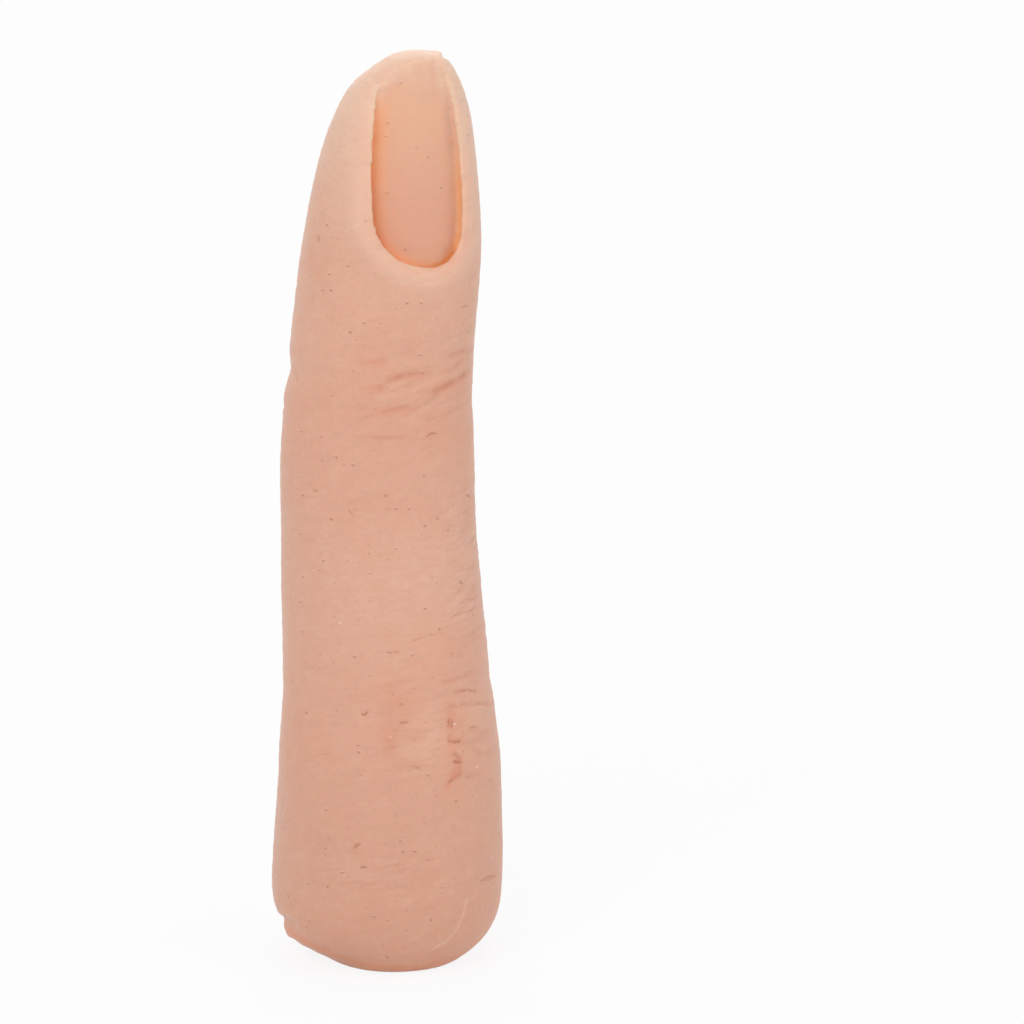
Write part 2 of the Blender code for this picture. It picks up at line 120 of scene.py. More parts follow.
# Nail slot, in millimetres: the U outline, with its round end, and its taper and skew to the tip
CUTICLE_HEIGHT = 58.7
NAIL_LENGTH = FINGER_TOP / MM - CUTICLE_HEIGHT
NAIL_HALF_WIDTH = 3.82
NAIL_ROUND_LENGTH = 4.2
NAIL_ROUND_POWER = 2.3
NAIL_TAPER = 0.27
NAIL_TAPER_FROM = 5.0
NAIL_TAPER_OVER = 10.0
NAIL_TAPER_POWER = 2.2
NAIL_TAPER_MOST = 2.0
NAIL_SKEW = 0.20
NAIL_LEAN_AT_CUTICLE = 1.05
NAIL_LEAN_AT_TIP = 1.35

# The bed, and the groove under the skin at its sides, with the heights over which it runs out
BED_RADIUS = 7.2
BED_DEPTH_AT_CUTICLE = 5.1
BED_DEPTH_AT_TIP = 3.85
GROOVE_DEPTH = 0.5
GROOVE_HEIGHT = 0.5
GROOVE_TRIM = 0.12
GROOVE_RUNS_OUT_LEFT = (3.5, 9.5)
GROOVE_RUNS_OUT_RIGHT = (0.8, 3.2)

# The tools that cut the slot. A prism's outline closes to a point in the last share of its points.
PRISM_POINTS = 96
PRISM_CLOSES = 0.03
PRISM_PAST_TIP = 3.0
PRISM_STARTS = -4.0
PRISM_LENGTH = 8.0
BAR_SIDES = 160
BAR_LENGTH = 3 * NAIL_LENGTH
CUT_OVERLAP = 0.02


# Small helpers
def deselect_all():
    if bpy.context.object is not None and bpy.context.object.mode != "OBJECT":
        bpy.ops.object.mode_set(mode="OBJECT")
    bpy.ops.object.select_all(action="DESELECT")


def take(piece):
    """Makes one piece the only selected object, and the active one."""
    deselect_all()
    piece.select_set(True)
    bpy.context.view_layer.objects.active = piece


def edit_all(piece):
    take(piece)
    bpy.ops.object.mode_set(mode="EDIT")
    bpy.ops.mesh.select_all(action="SELECT")


def leave_edit():
    bpy.ops.object.mode_set(mode="OBJECT")


def apply_modifier(piece, kind, **settings):
    take(piece)
    step = piece.modifiers.new(kind.lower(), kind)
    for name, value in settings.items():
        setattr(step, name, value)
    bpy.ops.object.modifier_apply(modifier=step.name)


def remove(piece):
    bpy.data.objects.remove(piece, do_unlink=True)


def closed_outwards(piece):
    edit_all(piece)
    bpy.ops.mesh.remove_doubles(threshold=WELD_GAP)
    bpy.ops.mesh.select_all(action="SELECT")
    bpy.ops.mesh.normals_make_consistent(inside=False)
    leave_edit()


def smooth_but_sharp_over(piece, angle):
    piece.data.shade_smooth()
    piece.data.set_sharp_from_angle(angle=angle)


def read_rows(items, field):
    """A row of x, y and z for each point of a mesh."""
    rows = np.zeros(len(items) * 3)
    items.foreach_get(field, rows)
    return rows.reshape(-1, 3)


def store(mesh, name, values):
    """Keeps a number or a place for each point of a mesh, for its material to read."""
    values = np.asarray(values, dtype=np.float32)
    kind, field = ("FLOAT", "value") if values.ndim == 1 else ("FLOAT_VECTOR", "vector")
    layer = mesh.attributes.new(name, kind, "POINT")
    layer.data.foreach_set(field, values.ravel())


def ease(value, low, high):
    """0 below low, 1 above high, and a smooth step between them."""
    share = np.clip((value - low) / (high - low), 0.0, 1.0)
    return share * share * (3 - 2 * share)


def bump_shape(distance, width):
    return np.exp(-(distance / width) ** 2)


# Numbers that scatter the heights of the noise from cell to cell
NOISE_STRIDES = (127.1, 311.7, 74.7)
NOISE_SPREAD = 43758.5453


def soft_noise(points):
    """Smooth noise between -1 and 1 at rows of x, y, z, with one swing to each unit."""
    cell = np.floor(points)
    share = points - cell
    share = share * share * (3 - 2 * share)
    total = np.zeros(len(points))
    for corner in np.ndindex(2, 2, 2):
        key = (cell + corner) @ np.array(NOISE_STRIDES)
        height = np.modf(np.abs(np.sin(key) * NOISE_SPREAD))[0]
        weight = np.prod(np.where(np.array(corner) == 1, share, 1 - share), axis=1)
        total += height * weight
    return 2 * total - 1


def distance_to_line(across, up, points):
    """Distance to a line through points, and the share of the way along it."""
    nearest = np.full(len(across), np.inf)
    along = np.zeros(len(across))
    for index, (first, second) in enumerate(zip(points, points[1:])):
        run = second - first
        share = ((across - first[0]) * run[0] + (up - first[1]) * run[1]) / (run @ run)
        share = np.clip(share, 0, 1)
        gap = np.hypot(across - first[0] - share * run[0], up - first[1] - share * run[1])
        nearer = gap < nearest
        nearest = np.where(nearer, gap, nearest)
        along = np.where(nearer, (index + share) / (len(points) - 1), along)
    return nearest, along


# Places on the photo's plane
def photo_point(pixel):
    """A pixel of the photo as millimetres right of the foot's centre and up from it."""
    return (
        (pixel[0] - FOOT_PIXEL[0]) / PIXELS_PER_MM,
        (FOOT_PIXEL[1] - pixel[1]) / PIXELS_PER_MM,
    )


def on_photo_plane(places):
    """Millimetres right and up on the photo's plane."""
    return places @ np.array(VIEW_RIGHT) / MM, places @ np.array(VIEW_UP) / MM


def distance_to_stroke(right, up, pixels):
    """Distance in millimetres to a line drawn through pixels of the photo, and the share along."""
    return distance_to_line(right, up, np.array([photo_point(pixel) for pixel in pixels]))


def soft_spot(right, up, pixel, half_width, half_height):
    """A soft oval round a pixel of the photo: 1 in its middle, and nothing far out."""
    middle = photo_point(pixel)
    gap = np.hypot((right - middle[0]) / half_width, (up - middle[1]) / half_height)
    return bump_shape(gap, 1.0)


def patches(rows, right, up):
    """How strongly each point lies in any of the soft patches."""
    strongest = np.zeros(len(right))
    for pixel, half_width, half_height, strength in rows:
        here = soft_spot(right, up, pixel, half_width, half_height)
        strongest = np.maximum(strongest, strength * here)
    return strongest


def strokes(rows, right, up):
    """How strongly each point lies on any of the soft strokes."""
    strongest = np.zeros(len(right))
    for pixels, half_width, strength in rows:
        gap, _ = distance_to_stroke(right, up, pixels)
        strongest = np.maximum(strongest, strength * bump_shape(gap, half_width))
    return strongest


# The skin's round form
def squared_circle(piece):
    """Turns the unit circle a little square, as a finger's section is."""
    for vertex in piece.data.vertices:
        for axis in (0, 1):
            share = vertex.co[axis]
            vertex.co[axis] = math.copysign(abs(share) ** (2 / SQUARENESS), share)


def ring_sizes(ring):
    """A ring's height, half width, half depth, and the place of its middle across and along."""
    height, width, nail_side, palm_side, lean = (value * MM for value in ring)
    return height, width / 2, (nail_side + palm_side) / 2, lean, (palm_side - nail_side) / 2


def loft_rings(name, rings, sides):
    """A filled circle, extruded ring by ring, each one resized and moved to its place."""
    deselect_all()
    bpy.ops.mesh.primitive_circle_add(vertices=sides, radius=1, fill_type="NGON")
    piece = bpy.context.object
    piece.name = name
    squared_circle(piece)
    edit_all(piece)
    swell = 1 / math.cos(math.pi / sides)
    height, half_width, half_depth, across, along = ring_sizes(rings[0])
    bpy.ops.transform.resize(
        value=(half_width * swell, half_depth * swell, 1), center_override=(0, 0, 0)
    )
    bpy.ops.transform.translate(value=(across, along, height))
    for ring in rings[1:]:
        next_height, next_width, next_depth, next_across, next_along = ring_sizes(ring)
        bpy.ops.mesh.extrude_region_move(
            TRANSFORM_OT_translate={"value": (0, 0, next_height - height)}
        )
        bpy.ops.transform.resize(
            value=(next_width / half_width, next_depth / half_depth, 1),
            center_override=(across, along, next_height),
        )
        bpy.ops.transform.translate(value=(next_across - across, next_along - along, 0))
        height, half_width, half_depth = next_height, next_width, next_depth
        across, along = next_across, next_along
    leave_edit()
    return piece


# The nail slot
def nail_turn():
    """Lean and tilt of the nail bed, up its middle line."""
    swing = math.atan2(NAIL_LEAN_AT_TIP - NAIL_LEAN_AT_CUTICLE, NAIL_LENGTH)
    tilt = math.atan2(BED_DEPTH_AT_CUTICLE - BED_DEPTH_AT_TIP, NAIL_LENGTH)
    return swing, tilt


def in_nail_frame(places):
    """Millimetres across the nail, up it from the cuticle, and out of the bed's middle line."""
    swing, tilt = nail_turn()
    across = places[:, 0] / MM - NAIL_LEAN_AT_CUTICLE
    out = -places[:, 1] / MM - BED_DEPTH_AT_CUTICLE
    up = places[:, 2] / MM - CUTICLE_HEIGHT
    turned_across = across * math.cos(swing) - up * math.sin(swing)
    turned_up = across * math.sin(swing) + up * math.cos(swing)
    bed_up = turned_up * math.cos(tilt) - out * math.sin(tilt)
    bed_out = turned_up * math.sin(tilt) + out * math.cos(tilt)
    return turned_across, bed_up + NAIL_SKEW * turned_across, bed_out


def out_of_nail_frame(across, up, out):
    """The place in metres of a point that is given on the nail, before its skew."""
    swing, tilt = nail_turn()
    turned_up = up * math.cos(tilt) + out * math.sin(tilt)
    outward = -up * math.sin(tilt) + out * math.cos(tilt)
    x = across * math.cos(swing) + turned_up * math.sin(swing) + NAIL_LEAN_AT_CUTICLE
    z = -across * math.sin(swing) + turned_up * math.cos(swing) + CUTICLE_HEIGHT
    return Vector((x, -(outward + BED_DEPTH_AT_CUTICLE), z)) * MM


def nail_half_width(up, spare=0.0):
    """Half width of the nail's outline at a height over the cuticle, let out by some spare."""
    share = np.clip((NAIL_ROUND_LENGTH - up) / (NAIL_ROUND_LENGTH + spare), 0, 1)
    round_end = (1 - share ** NAIL_ROUND_POWER) ** (1 / NAIL_ROUND_POWER)
    tapering = np.clip((up - NAIL_TAPER_FROM) / NAIL_TAPER_OVER, 0, NAIL_TAPER_MOST)
    tapered = NAIL_HALF_WIDTH * (1 - NAIL_TAPER * tapering ** NAIL_TAPER_POWER)
    return (tapered + spare) * round_end


def spare_width(is_groove, up, is_right):
    """How far the groove reaches under the skin, running out up each side of the nail."""
    if not is_groove:
        return 0.0
    gone = float(ease(up, *(GROOVE_RUNS_OUT_RIGHT if is_right else GROOVE_RUNS_OUT_LEFT)))
    return GROOVE_DEPTH * (1 - gone) - GROOVE_TRIM * gone


def nail_prism(name, is_groove):
    """A filled circle moved to the nail's U outline, then extruded through the fingertip."""
    deselect_all()
    bpy.ops.mesh.primitive_circle_add(vertices=PRISM_POINTS, radius=1, fill_type="NGON")
    piece = bpy.context.object
    piece.name = name
    low = -spare_width(is_groove, 0.0, False)
    high = NAIL_LENGTH + PRISM_PAST_TIP
    for vertex in piece.data.vertices:
        angle = math.atan2(vertex.co.x, -vertex.co.y)
        share = abs(angle) / math.pi
        up = low + (high - low) * (1 - math.cos(share * math.pi)) / 2
        half = float(nail_half_width(np.array(up), spare_width(is_groove, up, angle > 0)))
        half *= min(1.0, (1 - share) / PRISM_CLOSES)
        across = math.copysign(half, angle)
        vertex.co = out_of_nail_frame(across, up - NAIL_SKEW * across, PRISM_STARTS)
    outward = out_of_nail_frame(0, 0, PRISM_LENGTH) - out_of_nail_frame(0, 0, 0)
    edit_all(piece)
    bpy.ops.mesh.extrude_region_move(TRANSFORM_OT_translate={"value": outward})
    leave_edit()
    closed_outwards(piece)
    return piece


def bed_bar(name, radius):
    """The round bar whose top is the nail bed, or the groove's roof."""
    deselect_all()
    swing, tilt = nail_turn()
    bpy.ops.mesh.primitive_cylinder_add(
        vertices=BAR_SIDES,
        radius=radius * MM,
        depth=BAR_LENGTH * MM,
        location=out_of_nail_frame(0, 0, -BED_RADIUS),
        rotation=(-tilt, swing, 0),
    )
    piece = bpy.context.object
    piece.name = name
    bpy.ops.object.transform_apply(location=True, rotation=True, scale=True)
    return piece


def cut(piece, tool, operation):
    apply_modifier(piece, "BOOLEAN", operation=operation, solver="EXACT", object=tool)


def cut_nail_slot(skin):
    """Takes the open recess, and the groove under its edges, out of the fingertip."""
    bed = bed_bar("bed_bar", BED_RADIUS)
    opening = nail_prism("opening_prism", False)
    cut(opening, bed, "DIFFERENCE")
    deeper_bed = bed_bar("deeper_bed_bar", BED_RADIUS - CUT_OVERLAP)
    roof = bed_bar("groove_bar", BED_RADIUS + GROOVE_HEIGHT)
    groove = nail_prism("groove_prism", True)
    cut(groove, roof, "INTERSECT")
    cut(groove, deeper_bed, "DIFFERENCE")
    for tool in (opening, groove):
        cut(skin, tool, "DIFFERENCE")
    for tool in (bed, opening, deeper_bed, roof, groove):
        remove(tool)


# Points on the line that stands for the nail's outline: round the cuticle and up each side, and
# how far it goes on past the tip
ROUND_POINTS = 24
SIDE_POINTS = 12
LINE_PAST_TIP = 1


def gap_to_outline(across, up):
    """Millimetres from the nail's outline, less than nothing inside it."""
    heights = NAIL_ROUND_LENGTH * np.linspace(0, 1, ROUND_POINTS) ** 2
    side = np.linspace(NAIL_ROUND_LENGTH, NAIL_LENGTH + LINE_PAST_TIP, SIDE_POINTS)
    heights = np.append(heights, side[1:])
    halves = nail_half_width(heights)
    points = np.column_stack([
        np.append(-halves[::-1], halves[1:]),
        np.append(heights[::-1], heights[1:]),
    ])
    gap, _ = distance_to_line(across, up, points)
    inside = (up > 0) & (np.abs(across) < nail_half_width(np.maximum(up, 0.0)))
    return np.where(inside, -gap, gap)


# Creases and wrinkles. Each crease: pixels that it runs through, width and depth in millimetres
CREASES = (
    (((361, 366), (372, 363), (390, 361)), 0.20, 0.035),
    (((370, 391.5), (383, 387), (392, 381), (402, 377.5), (416, 375), (431, 373.5)), 0.22, 0.055),
    (((379, 415), (390, 411), (400, 409.5), (417, 409)), 0.22, 0.045),
    (((362, 437), (384, 438.5), (404, 438), (424, 436)), 0.20, 0.03),
    (((427, 436.5), (432, 434.5), (438, 434)), 0.12, 0.04),
    (((431, 397), (440, 391), (450, 385), (462, 378), (473, 366)), 0.26, 0.085),
    (((446, 359), (458, 354), (475, 349)), 0.24, 0.065),
    (((438, 375), (452, 369), (468, 358)), 0.22, 0.035),
    (((428, 421), (446, 416), (464, 405)), 0.22, 0.03),
    (((440, 404), (456, 398), (470, 388)), 0.20, 0.03),
    (((455, 692), (466, 690), (478, 691.5)), 0.13, 0.05),
    (((440, 684), (456, 679), (476, 671)), 0.22, 0.04),
    (((446, 705), (462, 707), (480, 703)), 0.22, 0.04),
    (((445.5, 721), (455, 723.5)), 0.14, 0.04),
    (((449, 719), (448, 727)), 0.12, 0.05),
    (((452.5, 719), (451.5, 728)), 0.12, 0.05),
    (((448, 734), (450, 745)), 0.14, 0.05),
    (((449, 740), (455, 742.5), (462, 741.5)), 0.15, 0.07),
    (((451, 753), (457, 756), (463, 761)), 0.15, 0.05),
    (((453, 764), (457, 762), (461, 761.5)), 0.16, 0.09),
    (((459, 767), (461, 773), (459, 780)), 0.14, 0.04),
    (((448, 784), (453, 779), (458, 775), (464, 772)), 0.16, 0.07),
    (((464, 779), (470, 776), (477, 773)), 0.16, 0.04),
    (((397, 741), (403, 739), (409, 740)), 0.14, 0.03),
    (((470, 727), (480, 733), (492, 731)), 0.22, 0.035),
    (((472, 749), (482, 754), (493, 752)), 0.22, 0.03),
    (((396, 735), (412, 738), (430, 734)), 0.24, 0.025),
    (((400, 760), (416, 763), (432, 759)), 0.24, 0.025),
    (((362, 713.5), (365, 714.5), (368, 711.5)), 0.12, 0.07),
    (((400, 722), (408, 721.5)), 0.12, 0.05),
    (((475, 702), (484, 704), (492, 705)), 0.16, 0.04),
    (((388, 731), (404, 730), (420, 732), (432, 731)), 0.16, 0.03),
)
# Where along its length a crease comes in and goes out, and the strength left at its very ends
CREASE_COMES_IN = (0.0, 0.18)
CREASE_GOES_OUT = (0.82, 1.0)
CREASE_AT_ENDS = 0.25
# A rim's distance and width, in widths of its crease, and its rise, in depths of the crease
CREASE_RIM = (2.0, 1.1, 0.35)
PALM_CREASE_RIM = (2.2, 1.3, 0.3)
# How deep a crease is whose painted shade is at full strength
FULL_SHADE_CREASE_DEPTH = 0.08
FULL_SHADE_PALM_CREASE_DEPTH = 0.2
# How unevenly deep the creases are, and over what length
CREASE_UNEVEN = 0.5
CREASE_GRAIN = 0.8

# Small nicks and short wrinkles: pixels, half width in millimetres, and strength
NICKS = (
    (((354, 848), (357, 845.5), (360, 843.5)), 0.12, 1.0),
    (((355, 843), (359, 846)), 0.10, 0.8),
    (((361, 866.7), (367, 866.5)), 0.11, 1.0),
    (((482, 882), (486, 879), (489, 877), (495, 878)), 0.11, 1.0),
    (((485, 884), (491, 880)), 0.10, 0.8),
    (((325, 828), (329, 839), (334, 848), (341, 857)), 0.09, 0.5),
    (((425, 860), (430, 860)), 0.10, 0.8),
    (((397, 870), (407, 868.5)), 0.10, 0.5),
    (((414, 766), (420, 769)), 0.10, 1.0),
    (((314, 739), (324, 734)), 0.11, 0.5),
    (((324, 754), (330, 753)), 0.10, 0.7),
    (((471, 728), (477, 726.5)), 0.10, 0.8),
    (((449, 586), (458, 589.5)), 0.10, 0.6),
    (((349, 510), (351, 513), (354, 517)), 0.12, 0.7),
    (((346, 515), (353, 512)), 0.10, 0.5),
    (((314, 490), (318, 491)), 0.10, 1.0),
    (((331, 519), (333, 520)), 0.10, 1.0),
    (((385, 496), (387, 497)), 0.12, 1.0),
    (((467, 495), (470, 497)), 0.14, 1.0),
    (((458, 603.5), (466, 600), (475, 598)), 0.11, 0.7),
    (((451, 617), (460, 613), (472, 610)), 0.11, 0.7),
    (((412, 641.5), (426, 636), (444, 631)), 0.11, 0.6),
    (((458, 572), (466, 569), (475, 569)), 0.11, 0.6),
    (((444, 538), (458, 534), (472, 532)), 0.11, 0.5),
    (((416, 588), (430, 585), (447, 585.5)), 0.11, 0.5),
    (((388, 652), (392, 652.5)), 0.11, 1.0),
    (((396, 652), (399, 651.5)), 0.10, 0.8),
    (((321, 238), (319, 243)), 0.12, 0.8),
    (((323, 292), (327, 292)), 0.10, 0.8),
    (((461, 308.5), (466, 307)), 0.10, 0.8),
    (((449, 340), (458, 336), (472, 331)), 0.12, 0.5),
    (((444, 355.5), (454, 353.5)), 0.11, 0.6),
    (((338, 154), (343, 155)), 0.10, 0.6),
    (((354, 132), (357, 129)), 0.11, 0.6),
    (((388, 169.5), (391, 168.5)), 0.11, 1.0),
    (((427, 436.5), (432, 434.5), (438, 434)), 0.09, 0.9),
    (((362, 713.5), (365, 714.5), (368, 711.5)), 0.10, 1.0),
    (((400, 722), (408, 721.5)), 0.10, 0.8),
    (((455, 692), (466, 690.5), (478, 691.5)), 0.09, 0.7),
    (((449, 719), (448.5, 726)), 0.10, 0.9),
    (((452.5, 720), (452, 728)), 0.10, 0.9),
    (((448, 741), (454, 742), (460, 741)), 0.10, 0.9),
    (((454, 760.5), (458, 763), (461, 762)), 0.12, 1.0),
    (((449, 782), (453, 779)), 0.10, 0.8),
    (((455, 753), (459, 757)), 0.10, 0.7),
    (((462, 704), (466, 704)), 0.10, 0.8),
    (((477, 704), (481, 704)), 0.10, 0.8),
)
NICK_DEPTH = 0.05

# Each swelling: pixel of its middle, half width and half height in millimetres, and its rise
SWELLINGS = (
    ((388, 728), 0.6, 2.6, -0.05),
    ((428, 742), 1.9, 3.4, 0.16),
    ((405, 700), 3.2, 2.0, 0.05),
    ((440, 560), 3.0, 6.0, 0.05),
    ((405, 396), 2.2, 0.9, 0.06),
    ((408, 424), 2.4, 0.8, 0.05),
    ((452, 372), 1.2, 0.9, 0.05),
    ((478, 712), 1.4, 1.6, 0.07),
    ((330, 330), 3.0, 4.0, 0.05),
)

# Each step in the outline: pixel, half height in millimetres, and its rise
OUTLINE_STEPS = (
    ((289, 368), 1.0, -0.26),
    ((283, 396), 1.2, 0.08),
    ((280, 690), 1.2, -0.08),
    ((278, 745), 2.0, 0.08),
    ((490, 676), 0.8, -0.06),
    ((494, 696), 1.2, 0.06),
    ((471, 400), 1.5, -0.08),
)

# Strokes that move the outline: pixels, half width and rise in millimetres. Those of the base are
# its notch, the lip under that, the lip's soft end and a flatter stretch. Those of the tip are the
# notch beside the nail bed's corner, a soft line down from it, and the corner.
EDGE_STROKES = (
    (((268, 920), (283, 921), (292, 926)), 0.32, -0.30),
    (((282, 930), (288, 936)), 0.45, 0.36),
    (((289, 937), (301, 944)), 0.60, 0.14),
    (((330, 960), (352, 966)), 0.90, -0.12),
    (((445, 47), (447, 57)), 0.28, -0.34),
    (((447, 60), (451, 84), (454, 112)), 0.35, -0.04),
    (((438, 50), (443, 52)), 0.36, 0.38),
)

# Palm creases: height, bow, width and depth
PALM_CREASES = (
    (PIP_HEIGHT / MM - 0.9, 0.012, 0.30, 0.28),
    (PIP_HEIGHT / MM + 1.1, 0.016, 0.26, 0.20),
    (PIP_HEIGHT / MM + 2.6, 0.010, 0.18, 0.07),
    (PIP_HEIGHT / MM - 2.8, 0.006, 0.18, 0.06),
    (DIP_HEIGHT / MM - 0.4, 0.012, 0.28, 0.26),
    (DIP_HEIGHT / MM + 0.9, -0.006, 0.20, 0.11),
    (DIP_HEIGHT / MM - 2.0, 0.010, 0.16, 0.06),
)
# A palm crease sways: the length of a sway across and up, and the reach of the slow and the quick
# sway. Its strength varies too, and each crease takes its own stretch of the noise.
PALM_SWAY_SIZE = (3.4, 9.0)
PALM_SWAY = (0.55, 0.15)
PALM_STRENGTH = (0.75, 0.35)
PALM_NOISE_STEPS = (7.3, 3.1)

# Where the fine skin lines are deepest: pixel, half width and half height, and the share. Below
# are the depth of the lines, the size of a cell of the coarse and the fine ones, the share of each
# of these, their slant, and how far and over what length they wander.
LINED_SKIN = (
    ((410, 400), 6.0, 3.6, 0.7),
    ((470, 560), 3.0, 9.0, 1.0),
    ((430, 740), 7.0, 5.0, 0.6),
    ((390, 880), 9.0, 5.5, 0.6),
    ((420, 330), 7.0, 2.5, 0.4),
)
LINES_ELSEWHERE = 0.35
LINES_LOST_ON_BED = 0.8
FINE_LINE_DEPTH = 0.10
LINE_CELL = np.array((1.9, 1.9, 0.40)) * MM
FINER_LINE_CELL = np.array((1.2, 1.2, 0.27)) * MM
LINE_SHARES = (0.55, 0.45)
LINE_SLANT = 0.22
LINE_WANDER_SIZE = 3.0 * MM
LINE_WANDER = np.array((0, 0, 1.1))

# Slow swells of the whole skin, in millimetres: rise, and for each wave its run in x, y and z and
# its start. The first one also sways with x, so far and with such a run.
WANDER_RISE = 0.035
WANDER_WAVES = (
    (0.0, 0.0, 0.43, 1.3),
    (0.61, 0.0, 0.33, 0.4),
    (0.0, 0.57, -0.29, 2.1),
)
WANDER_SWAY = (0.9, 0.21)

# Folds beside the slot, in millimetres: their rise, the distance from the outline and width, how
# far below the tip they fade, and where they begin, off the bed and outside the outline
FOLD_RISE = 0.26
FOLD_AWAY = 0.9
FOLD_WIDTH = 0.95
FOLD_FADES = (NAIL_LENGTH - 6.0, NAIL_LENGTH - 1.0)
FOLD_OFF_BED = (0.1, 0.3)
FOLD_OUTSIDE = (-0.4, 0.2)

# The bed's painted shade, in millimetres: how deep the bed is sunk, how far in from the outline the
# painted shade comes, the heights over which it loses most of that shade, and where its skin starts
# under the cuticle
BED_SUNK = (0.08, 0.6)
BED_INWARD = (0.2, 1.4)
BED_FADES = (NAIL_LENGTH - 4.5, NAIL_LENGTH - 1.0)
BED_FADED = 0.8
BED_STARTS = -1.5

# The painted glow at the bed's sides, which stands for light coming through the silicone of the
# folds into the shaded groove: its reach in from the outline, the heights over which it fades, the
# part of its reach that it has at the cuticle, and where left goes over into right
LEFT_GLOW = 1.7
RIGHT_GLOW = 0.5
LEFT_GLOW_FADES = (10.6, 15.0)
RIGHT_GLOW_FADES = (6.0, 14.0)
LEFT_GLOW_AT_CUTICLE = 0.55
LEFT_GLOW_FULL = (0.0, 4.0)
GLOW_SIDES = (-1.5, 2.5)

# Redder patches: pixel of the middle, half width and half height in millimetres, strength
FLUSHES = (
    ((454, 740), 0.9, 0.6, 0.5),
    ((457, 762), 0.7, 0.5, 0.6),
    ((452, 750), 0.9, 3.0, 0.4),
    ((400, 700), 1.8, 2.2, 0.4),
    ((433, 85), 0.25, 2.4, 0.35),
    ((405, 377), 2.4, 0.5, 0.45),
    ((376, 390), 1.1, 0.4, 0.6),
    ((373, 364), 1.2, 0.4, 0.4),
    ((397, 411), 1.7, 0.4, 0.5),
    ((446, 388), 1.6, 0.6, 0.55),
    ((440, 430), 3.0, 2.0, 0.25),
    ((440, 640), 2.4, 4.0, 0.2),
)

# Redder strokes: pixels that they run through, half width in millimetres, strength
FLUSH_STROKES = (
    (((450, 712), (452, 723), (450, 733), (455, 741), (453, 752), (458, 762)), 0.55, 0.9),
    (((458, 762), (454, 775), (447, 786)), 0.5, 0.85),
    (((462, 716), (460, 730), (464, 745), (461, 758)), 0.5, 0.45),
    (((388, 686), (391, 712), (388, 730), (390, 752)), 0.75, 0.5),
    (((452, 786), (455, 800)), 0.7, 0.3),
)
# The strength of the redder strokes, how it varies, and over what length in millimetres
FLUSH_UNEVEN = (0.75, 0.35, 0.7)

# Painted highlights on the swellings and on the fold's crescent under the cuticle, listed the same
# way as the redder patches
PAINTED_HIGHLIGHT_PATCHES = (
    ((427, 738), 1.6, 3.4, 0.6),
    ((478, 712), 1.2, 1.4, 0.5),
    ((425, 283), 4.0, 1.4, 0.3),
    ((440, 560), 2.4, 5.0, 0.3),
)

# Fine pale scratches, listed the same way as the redder strokes
SCRATCHES = (
    (((467, 900), (464, 914), (458, 929), (447, 941), (432, 950)), 0.075, 1.0),
    (((356.5, 230), (359, 227.5), (362.5, 226.5)), 0.11, 0.9),
    (((437, 938), (446, 944)), 0.09, 0.6),
)

# Places across the foot, and the height and strength there of the painted glow along the cut edge,
# in millimetres
CUT_EDGE = (
    (-9.0, 2.75, 0.7),
    (-8.0, 2.35, 0.85),
    (-6.3, 1.65, 0.9),
    (-3.7, 0.85, 0.7),
    (0.5, 0.50, 0.45),
    (4.5, 1.05, 0.55),
    (6.3, 1.80, 0.25),
    (9.0, 2.40, 0.1),
)
CUT_EDGE_HALF_WIDTH = 0.36
# The foot's under side has part of that painted glow, and the edge loses most of it to the palm
# side
CUT_EDGE_BELOW = 0.6
CUT_EDGE_BELOW_HEIGHTS = (0.3, 1.2)
CUT_EDGE_LOST_ON_PALM = 0.8
CUT_EDGE_FADES_TO_PALM = (-1.0, 4.0)

# The finger pad's lower and upper end, in millimetres
PAD_STARTS = (51, 56)
PAD_ENDS = (70, 74)

# How far a point faces the camera, or the palm, before it is reckoned to that side
FACES_CAMERA = (-0.05, 0.35)
FACES_SIDEWAYS = (0.6, 0.95)
FACES_PALM = (0.1, 0.6)
PAD_FACES_PALM = (0.2, 0.6)
FACES_DOWN = (0.1, 0.6)
FACES_UP = (0.0, 0.3)
# The flat of the foot stays flat: points move less below this height, in millimetres
FOOT_KEPT = (0.02, 0.6)

# What the sculpting stores on the skin for its material
SKIN_MARKS = (
    "flush", "pale", "scratch", "crease", "nick", "bed", "left_painted_glow", "right_painted_glow", "fold",
    "foot_rim_glow", "skin_lines", "lined", "finger_pad",
)


# Sculpted detail
def crease_profile(gap, width, rim):
    """A crease's hollow, and the low rim on each side of it, as folds of soft skin have."""
    rim_away, rim_width, rim_rise = rim
    hollow = bump_shape(gap, width)
    return hollow, rim_rise * bump_shape(np.abs(gap) - rim_away * width, rim_width * width)


def front_creases(places, facing, right, up):
    """The knuckles' creases in the photo: how far they move the skin, and how much painted shade
    reddens them.
    """
    move = np.zeros(len(places))
    red = np.zeros(len(places))
    uneven = 1 + CREASE_UNEVEN * soft_noise(places / (CREASE_GRAIN * MM))
    for pixels, width, depth in CREASES:
        gap, along = distance_to_stroke(right, up, pixels)
        ends = ease(along, *CREASE_COMES_IN) * (1 - ease(along, *CREASE_GOES_OUT))
        shown = (ends * (1 - CREASE_AT_ENDS) + CREASE_AT_ENDS) * facing
        hollow, rim = crease_profile(gap, width, CREASE_RIM)
        move += depth * uneven * (rim - hollow) * shown
        red = np.maximum(red, hollow * shown * min(1.0, depth / FULL_SHADE_CREASE_DEPTH) * uneven)
    return move, red


